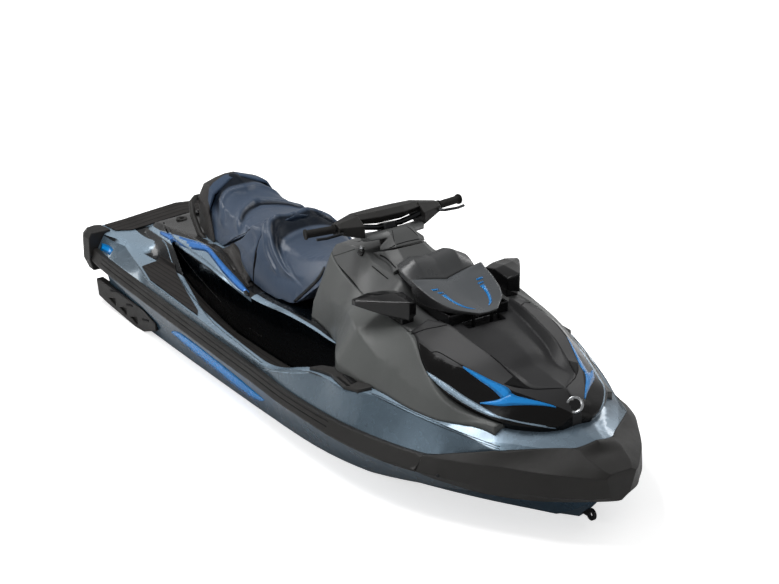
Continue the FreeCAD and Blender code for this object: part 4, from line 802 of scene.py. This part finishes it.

# Flank lines, vents, pedestal stripe, and painted highlights along the well edges and a flank
# crease

VENT_SLOTS = [
    ([(566, 502, 660), (669, 526, 656)], [(580, 486, 664), (674, 500, 662)]),
    ([(560, 536, 640), (661, 551, 640)], [(570, 522, 652), (676, 535, 655)]),
]
seam("flank_line", [
    (770, 506, 655), (873, 479, 648), (967, 448, 635), (1070, 417, 624), (1171, 381, 613),
    (1264, 340, 601), (1353, 302, 592),
], "deck", 0.0028)
seam("flank_line_low", [
    (788, 506, 652), (879, 483, 641), (976, 455, 630), (1077, 422, 617), (1175, 383, 605),
    (1272, 345, 595), (1362, 309, 587),
], "deck", 0.0022)
inlay("pedestal_stripe", [
    (-1383, 248, 618), (-1233, 262, 650), (-1099, 272, 675), (-984, 276, 695), (-904, 276, 703),
    (-838, 280, 700), (-707, 291, 671), (-572, 294, 639), (-488, 299, 618),
], [
    (-1360, 258, 610), (-1235, 280, 625), (-1067, 292, 643), (-952, 294, 667), (-877, 290, 682),
    (-812, 297, 673), (-673, 312, 639), (-545, 321, 618), (-458, 317, 608),
], "pedestal_panels deck", "panel_stripe")
for number, (slot_out, slot_in) in enumerate(VENT_SLOTS, 1):
    inlay(f"vent_slot_{number}", slot_out, slot_in, "side_vents", "seam", across=2)

# Painted highlight: a pale line along the rounded inner edge of the gunwale tops, where it catches
# the light
seam("well_edge", [
    (-1300, 283, 606), (-1211, 307, 604), (-1051, 350, 530), (-850, 410, 530), (-641, 462, 530),
    (-461, 506, 530), (-338, 523, 530), (-223, 532, 530), (-88, 548, 530), (44, 559, 530),
], "deck", 0.007, "pale")
# Painted highlight: a grey line along a crease inside the dark well
seam("well_crease", [
    (-1163, 276, 597), (-980, 277, 545), (-780, 280, 490), (-590, 285, 452), (-402, 289, 428),
], "deck", 0.004, "pod")
# Painted highlight: a thin pale line along a crease of the flank, where it catches the light
seam("flank_rise", [(67, 574, 512), (170, 574, 543), (285, 572, 576), (407, 557, 617)], "deck",
     0.004, "pale")
inlay("stern_patch", [(-1600, 450, 534), (-1543, 438, 537), (-1500, 440, 534)], [
    (-1582, 467, 507), (-1530, 467, 511), (-1481, 467, 513),
], "deck", "stripe", across=3)

# Grooves that run along the rails, and notches of the sponsons

RAIL_STATIONS = np.linspace(-1500, 620, 24)
SPONSON_NOTCHES = [(-1422, 362), (-1265, 343), (-1113, 320)]
NOTCH_LINE = [(0, 506, 0), (32, 505, 8), (66, 504, 14)]
groove_along("rail_groove", "rub_rails", RAIL_STATIONS, 0.5, 0.004)
groove_along("rail_top_line", "rub_rails", RAIL_STATIONS, 0.85, 0.003)
for number, (x, h) in enumerate(SPONSON_NOTCHES, 1):
    notch = [(x + along, y, h + rise) for along, y, rise in NOTCH_LINE]
    seam(f"sponson_notch_{number}", notch, "sponsons", 0.010)

# Hull side: a plain tapering stripe

inlay("hull_stripe", [
    (-800, 524, 372), (-700, 532, 401), (-512, 542, 400), (-310, 549, 392), (-129, 552, 378),
    (40, 555, 352),
], [
    (-830, 516, 352), (-640, 512, 330), (-450, 514, 318), (-290, 514, 300), (-110, 518, 300),
    (10, 540, 335),
], "hull", "stripe")

# Console and shroud joints, switch buttons

seam("console_slot", [(274, 158, 951), (341, 164, 945), (404, 167, 938)], "console", 0.005)
seam("console_seam", [
    (-37, 151, 896), (14, 166, 883), (113, 187, 875), (250, 222, 869), (330, 244, 862),
], "console", 0.007)
seam("glovebox_seam", [(-30, 150, 898), (51, 145, 938), (117, 139, 973)], "console", 0.0025)
seam("shroud_seam", [
    (268, -94, 1002), (298, -80, 1024), (306, -40, 1036), (308, 0, 1039), (306, 40, 1036),
    (298, 80, 1024), (268, 94, 1002),
], "steering_shroud", 0.004, body="steering", sides=(1,))
seam("shroud_gap", [
    (263, 111, 986), (304, 109, 985), (361, 118, 979), (408, 120, 960), (467, 137, 952),
], "column_shroud console", 0.007)
seam("shroud_crease", [(243, 37, 1075), (270, 50, 1060), (292, 60, 1044)], "steering_shroud",
     0.0025, body="steering")

BUTTON_PROFILE = [(0.0065, -0.002), (0.0065, 0.0025), (0.0055, 0.0035), (0.002, 0.0038)]
BUTTONS = [((160, 232, 1100), "accent"), ((160, 214, 1096), "badge"), ((162, 196, 1092), "seam")]
for number, (spot, finish) in enumerate(BUTTONS, 1):
    on_both_sides(f"button_{number}", BUTTON_PROFILE, "switch_housings", spot, finish, "steering",
                  20)

# Stern latch and lanyard post

ACROSS = (0, 1, 0)
FORE = (1, 0, 0)
plate("stern_latch", "deck", (-1420, 0, 640), ACROSS, (0.070, 0.034, 0.010), "gloss")
plate("stern_latch_pull", "stern_latch", (-1420, 0, 655), ACROSS, (0.046, 0.016, 0.006), "bar")
plate("lanyard_base", "console", (175, -143, 977), FORE, (0.040, 0.030, 0.010), "gloss")
plate("lanyard_post", "lanyard_base", (175, -143, 990), FORE, (0.020, 0.018, 0.010),
      "badge", power=2.0)

# Fasteners of the bow bumper and stern bumpers

SCREW_PROFILE = [
    (0.0075, -0.001), (0.0075, 0.0012), (0.0065, 0.0026), (0.0034, 0.003), (0.0030, 0.0012),
]
on_both_sides("bumper_screw", SCREW_PROFILE, "bow_bumper", (1191, 475, 452), "bar")
on_both_sides("stern_bumper_screw", SCREW_PROFILE, "stern_bumpers", (-1600, 500, 470), "bar")

# Upholstery

SEAT_HUB = 620          # height of the line that seam angles turn about
SEAM_REACH = 270        # about how far the cover lies from that line
COVER_VOXEL = 0.008
COVER_INSET = 0.003     # taken off before the cover is filled
FILL_REACH = 0.006      # the most that filling moves a point
BASE_NORMAL = -0.6      # faces that look further down than this are the cover's base


def relaxed(points, edges, rounds, pull=0.5, swell=-0.53):
    """Smooths without shrinking, by alternate pulls towards and away from the neighbours."""
    degree = np.bincount(edges.ravel(), minlength=len(points))[:, None]
    for _ in range(rounds):
        for factor in (pull, swell):
            total = np.zeros_like(points)
            np.add.at(total, edges[:, 0], points[edges[:, 1]])
            np.add.at(total, edges[:, 1], points[edges[:, 0]])
            points = points + factor * (total / np.maximum(degree, 1) - points)
    return points


def values(items, key, width, kind=float):
    """What the items of a mesh hold, as rows of numbers."""
    flat = np.empty(len(items) * width, kind)
    items.foreach_get(key, flat)
    return flat.reshape(-1, width)


def mesh_points(mesh):
    return values(mesh.vertices, "co", 3)


def mesh_normals(mesh):
    return values(mesh.vertex_normals, "vector", 3)


def mesh_edges(mesh):
    return values(mesh.edges, "vertices", 2, np.int64)


def place_points(mesh, points):
    mesh.vertices.foreach_set("co", points.astype(np.float32).ravel())
    mesh.update()


def evaluated_mesh(obj):
    """The object's mesh with its modifiers applied."""
    depsgraph = bpy.context.evaluated_depsgraph_get()
    made = bpy.data.meshes.new_from_object(obj.evaluated_get(depsgraph))
    obj.modifiers.clear()
    obj.data = made
    return made


def puffed(obj, frames=20):
    """Fills the cover with pressure, and caps how far any point moves."""
    start = mesh_points(obj.data)
    base = obj.vertex_groups.new(name="base")
    lowest = mesh_normals(obj.data)[:, 2] < BASE_NORMAL
    base.add([int(i) for i in np.nonzero(lowest)[0]], 1.0, "REPLACE")
    cloth = obj.modifiers.new("fill", "CLOTH")
    cloth.settings.use_pressure = True
    cloth.settings.uniform_pressure_force = 4
    cloth.settings.effector_weights.gravity = 0
    cloth.settings.vertex_group_mass = "base"
    cloth.settings.tension_stiffness = 25
    cloth.settings.compression_stiffness = 25
    cloth.point_cache.frame_end = frames
    for number in range(1, frames + 1):
        bpy.context.scene.frame_set(number)
    moved = mesh_points(evaluated_mesh(obj)) - start
    length = np.linalg.norm(moved, axis=1, keepdims=True)
    place_points(obj.data, start + moved * np.minimum(1.0, FILL_REACH / np.maximum(length, 1e-9)))
    bpy.context.scene.frame_set(1)


def smoothstep(value, low, high):
    t = np.clip((value - low) / (high - low), 0, 1)
    return t * t * (3 - 2 * t)


def seam_angle(points):
    """Degrees from upright about the seat's hub line, the same on both sides."""
    hub = keel(0, 0, SEAT_HUB).z
    return np.degrees(np.arctan2(np.abs(points[:, 1]), points[:, 2] - hub))


def crest_at(angle, line, unit=60):
    """Where a sewn line crosses each angle, smooth through its (angle, x) points."""
    path = smooth_path([(a / unit, x / 1000, 0) for a, x in line], unit)
    return np.interp(angle, [p.x * unit for p in path], [p.y for p in path])


def painted_shade_share(points, zones, fade=14):
    """How much painted shade each point takes: the darker tone between each zone's aft and fore
    line.
    """
    angle = seam_angle(points)
    share = np.zeros(len(points))
    for aft, fore in zones:
        ahead = points[:, 0] - crest_at(angle, aft)
        behind = crest_at(angle, fore) - points[:, 0]
        inside = smoothstep(ahead, -0.004, 0.012) * smoothstep(behind, -0.006, 0.016)
        low = aft[-1][0]
        share = np.maximum(share, inside * (1 - smoothstep(angle, low - fade, low)))
    return share


def ridge_field(points, line, height, aft, fore, hollow=0.0, fade=10.0):
    """Height of a sewn ridge over the seat, with a hollow ahead. Its line is (angle, x) pairs."""
    angle = seam_angle(points)
    high, low = line[0][0], line[-1][0]
    ahead = points[:, 0] - crest_at(angle, line)
    shape = np.exp(-(ahead / np.where(ahead < 0, aft, fore)) ** 2)
    shape = shape - hollow * np.exp(-((ahead - 2.4 * fore) / (1.6 * fore)) ** 2)
    start = smoothstep(angle, high - fade, high) if high > 0 else 1.0
    return height * shape * start * (1 - smoothstep(angle, low - fade, low))


def bowl_field(points, x, depth, length, half_angle):
    """A shallow bowl across the top of the seat."""
    sides = 1 - smoothstep(seam_angle(points), 0, half_angle)
    return -depth * np.exp(-((points[:, 0] - x) / length) ** 2) * sides


def aft_and_high(points, aft, height):
    """How far each point is into a zone, by its place aft and its height above the keel."""
    return smoothstep(-points[:, 0], *aft) * smoothstep(points[:, 2] + DRAFT, *height)


def shifted(points, x, z):
    moved = points.copy()
    moved[:, 0] += x
    moved[:, 2] += z
    return moved


def swept_bolster(points):
    """Carries the front bolster aft over the rear cushion and levels its crest, as it is sewn."""
    share = aft_and_high(points, (0.43, 0.54), (0.77, 0.85))
    outboard = smoothstep(np.abs(points[:, 1]), 0.0, 0.10)
    return shifted(points, -0.055 * share, (0.014 * outboard - 0.022 * (1 - outboard)) * share)


def rolled_back(points):
    """Rolls the back rest's cover over the rim of its shell."""
    share = aft_and_high(points, (1.02, 1.12), (0.84, 0.90))
    return shifted(points, -0.012 * share, 0.001 * share)


# Ridges: the crest's (angle, x) line, height, width aft, width fore, share of the hollow ahead
# Painted shade zones, on the faces that look forward: the aft and the fore line

FRONT_RIDGES = [
    (
        [
            (0, -596), (10, -600), (20, -602), (25, -592), (30.4, -562), (36, -520), (40.6, -491),
            (44.3, -468), (48.9, -434), (52.6, -403), (56.4, -367), (60.2, -315), (66, -240),
        ],
        0.012, 0.036, 0.018, 0.6,
    ),
    (
        [
            (22, -655), (30.4, -602), (39.7, -540), (45.4, -515), (51.7, -484), (56.9, -447),
            (61.5, -410), (70, -350),
        ],
        0.005, 0.016, 0.010, 0.5,
    ),
    ([(36, -455), (41.6, -424), (51.3, -366), (56.6, -316), (66, -230)], 0.004, 0.016, 0.010, 0.4),
    ([(0, -444), (11.4, -450), (25, -448), (35.5, -436), (46, -400)], 0.004, 0.020, 0.014, 0.4),
]
REAR_RIDGES = [
    (
        [
            (0, -916), (3, -915), (9, -901), (21, -868), (30, -833), (38.4, -785), (42.2, -768),
            (52, -740),
        ],
        0.013, 0.034, 0.015, 0.5,
    ),
    ([(0, -862), (15, -848), (27, -813), (38, -755), (50, -700)], 0.005, 0.018, 0.012, 0.4),
    (
        [(0, -1003), (5, -1008), (13, -1018), (21, -1012), (29, -987), (40, -940), (54, -900)],
        0.007, 0.026, 0.014, 0.4,
    ),
]
FRONT_PAINTED_SHADE = [
    (
        [
            (0, -585), (10, -589), (20, -591), (25, -582), (30.4, -552), (36, -510), (40.6, -481),
            (44.3, -458), (52, -400),
        ],
        [(0, -462), (11.4, -465), (25, -458), (35.5, -440), (44, -415), (52, -380)],
    ),
]
REAR_PAINTED_SHADE = [
    (
        [(0, -906), (9, -892), (21, -859), (30, -824), (38.4, -777), (46, -745)],
        [(0, -858), (15, -843), (27, -806), (38, -755), (46, -725)],
    ),
    (
        [(0, -1300), (46, -1300)],
        [(0, -1012), (5, -1017), (13, -1027), (21, -1021), (29, -998), (40, -955), (46, -930)],
    ),
]
SIDE_SEAM = [(28, -615), (39, -566), (46, -563), (55, -555), (66, -538), (112, -535)]


def upholster(name, source, reshape, ridges, zones, bowl, grooves=()):
    """The seat's cover: the solid remeshed, rounded, filled and worked into its sewn forms."""
    obj = bpy.data.objects.new(name, NODES[source].data.copy())
    bpy.context.scene.collection.objects.link(obj)
    obj.data.materials.clear()
    obj.data.materials.append(MATERIALS["vinyl"])
    remesh = obj.modifiers.new("even", "REMESH")
    remesh.mode = "VOXEL"
    remesh.voxel_size = COVER_VOXEL
    mesh = evaluated_mesh(obj)
    edges = mesh_edges(mesh)
    points = relaxed(reshape(mesh_points(mesh)), edges, 14, swell=-0.50)
    place_points(mesh, points)
    place_points(mesh, points - mesh_normals(mesh) * COVER_INSET)
    puffed(obj)
    subdivide = obj.modifiers.new("finer", "SUBSURF")
    subdivide.levels = subdivide.render_levels = 1
    mesh = evaluated_mesh(obj)
    edges = mesh_edges(mesh)
    points, normals = mesh_points(mesh), mesh_normals(mesh)
    upward = smoothstep(normals[:, 2], -0.35, 0.0)
    lift = bowl_field(points, *bowl)
    for line, height, aft, fore, hollow in ridges:
        lift = lift + ridge_field(points, line, height, aft, fore, hollow)
    for line, depth, width in grooves:
        lift = lift - ridge_field(points, line, depth, width, width)
    place_points(mesh, relaxed(points + normals * (lift * upward)[:, None], edges, 3))
    # Painted shade: how far each point lies in the zones of darker vinyl on the faces that look
    # forward
    tone = mesh.attributes.new("painted_shade_share", "FLOAT", "POINT")
    tone.data.foreach_set("value", painted_shade_share(mesh_points(mesh), zones).astype(np.float32))
    mesh.polygons.foreach_set("use_smooth", [True] * len(mesh.polygons))
    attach(obj, "hull")
    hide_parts(source)


FRONT_BOWL = (-0.33, 0.006, 0.09, 42)       # x, depth, length, half angle
REAR_BOWL = (-0.935, 0.004, 0.05, 36)
upholster("front_cushion", "seat_front", swept_bolster, FRONT_RIDGES, FRONT_PAINTED_SHADE, FRONT_BOWL,
          grooves=[(SIDE_SEAM, 0.004, 0.005)])
upholster("rear_cushion", "seat_rear", rolled_back, REAR_RIDGES, REAR_PAINTED_SHADE, REAR_BOWL)

# Trim on the cushions: shell panel low on the side, piping and the dark front edge

SEAM_LINE = [(x, SEAM_REACH * math.sin(math.radians(a)),
              SEAT_HUB + SEAM_REACH * math.cos(math.radians(a))) for a, x in SIDE_SEAM[1:]]
inlay("shell_panel", [(-815, 246, 710), (-690, 264, 676), (-588, 275, 644), (-510, 282, 625)], [
    (-785, 213, 748), (-690, 230, 732), (-625, 246, 684), (-545, 262, 645),
], "front_cushion pedestal_panels", "shell", lift=0.002)
seam("cushion_joint", [(-818, 219, 722), (-781, 213, 751), (-721, 201, 796), (-660, 183, 834)],
     "front_cushion rear_cushion", 0.004, lift=0.0010)
seam("cushion_seam", SEAM_LINE, "front_cushion", 0.003, lift=0.0008)
inlay("front_trim", [
    (-112, 150, 822), (-104, 168, 795), (-113, 180, 763), (-146, 208, 713), (-205, 235, 645),
], [(-130, 140, 824), (-126, 158, 795), (-137, 177, 761), (-172, 207, 711), (-226, 234, 645)],
      "front_cushion", "gloss", lift=0.0015)

# Stage, light and camera

CAMERA_AZIMUTH = 0.970552      # radians from starboard abeam towards the bow
CAMERA_ELEVATION = 0.381256
CAMERA_DISTANCE = 9.68887
CAMERA_TARGET = keel(170.435, 0, 765.682)
FOCAL_PIXELS = 2291.06
PHOTO_WIDTH = 779
SENSOR_MM = 36.0
FLOOR_WHITE = (242, 242, 242)
LAMPS = {       # place, target, size in metres, watts
    "key": ((-0.9, -1.2, 5.4), (0.1, 0, 0.2), (3.0, 1.6), 190),
    "port_strip": ((-0.5, 5.5, 3.2), (0.2, 0, 0.3), (5.0, 0.8), 80),
    "starboard_strip": ((0.8, -6.0, 2.4), (0.2, 0, 0.3), (5.0, 0.5), 50),
    "stern_strip": ((-6.0, -2.0, 3.0), (-0.2, 0, 0.3), (3.0, 1.0), 60),
}


def add_camera():
    data = bpy.data.cameras.new("camera")
    data.sensor_width = SENSOR_MM
    data.lens = SENSOR_MM * FOCAL_PIXELS / PHOTO_WIDTH
    data.clip_end = 100
    camera = bpy.data.objects.new("camera", data)
    bpy.context.scene.collection.objects.link(camera)
    back = Vector((
        math.sin(CAMERA_AZIMUTH) * math.cos(CAMERA_ELEVATION),
        -math.cos(CAMERA_AZIMUTH) * math.cos(CAMERA_ELEVATION),
        math.sin(CAMERA_ELEVATION),
    ))
    camera.location = CAMERA_TARGET + back * CAMERA_DISTANCE
    camera.rotation_euler = back.to_track_quat("Z", "Y").to_euler()
    bpy.context.scene.camera = camera


def add_floor(half=60, glow=0.62):
    """Plain pale ground at the waterline: white to the camera where nothing shades it."""
    mesh = bpy.data.meshes.new("floor")
    corners = [(-half, -half, 0), (half, -half, 0), (half, half, 0), (-half, half, 0)]
    mesh.from_pydata(corners, [], [(0, 1, 2, 3)])
    floor = bpy.data.objects.new("floor", mesh)
    bpy.context.scene.collection.objects.link(floor)
    s = Shader("floor_white")
    s.set("Base Color", linear(FLOOR_WHITE))
    s.set("Roughness", 0.9)
    s.set("Specular IOR Level", 0.0)
    s.set("Emission Color", (1, 1, 1, 1))
    path = s.node("ShaderNodeLightPath")
    s.set("Emission Strength", s.math("MULTIPLY", path.outputs["Is Camera Ray"], glow))
    mesh.materials.append(s.finish())


def add_area(name, location, target, size, power):
    data = bpy.data.lights.new(name, "AREA")
    data.shape = "RECTANGLE"
    data.size, data.size_y = size
    data.energy = power
    light = bpy.data.objects.new(name, data)
    light.location = location
    back = Vector(location) - Vector(target)
    light.rotation_euler = back.to_track_quat("Z", "Y").to_euler()
    bpy.context.scene.collection.objects.link(light)


def add_world(ambient=0.40):
    """White to the camera, softer as a source of light and in reflections."""
    world = bpy.data.worlds.new("studio")
    bpy.context.scene.world = world
    world.use_nodes = True
    tree = world.node_tree
    background = tree.nodes["Background"]
    background.inputs["Color"].default_value = (1, 1, 1, 1)
    path = tree.nodes.new("ShaderNodeLightPath")
    level = tree.nodes.new("ShaderNodeMapRange")
    level.inputs["To Min"].default_value = ambient
    level.inputs["To Max"].default_value = 1.0
    tree.links.new(path.outputs["Is Camera Ray"], level.inputs["Value"])
    tree.links.new(level.outputs["Result"], background.inputs["Strength"])


add_camera()
add_floor()
add_world()
for lamp, setting in LAMPS.items():
    add_area(lamp, *setting)

bpy.context.scene.view_settings.view_transform = "Standard"
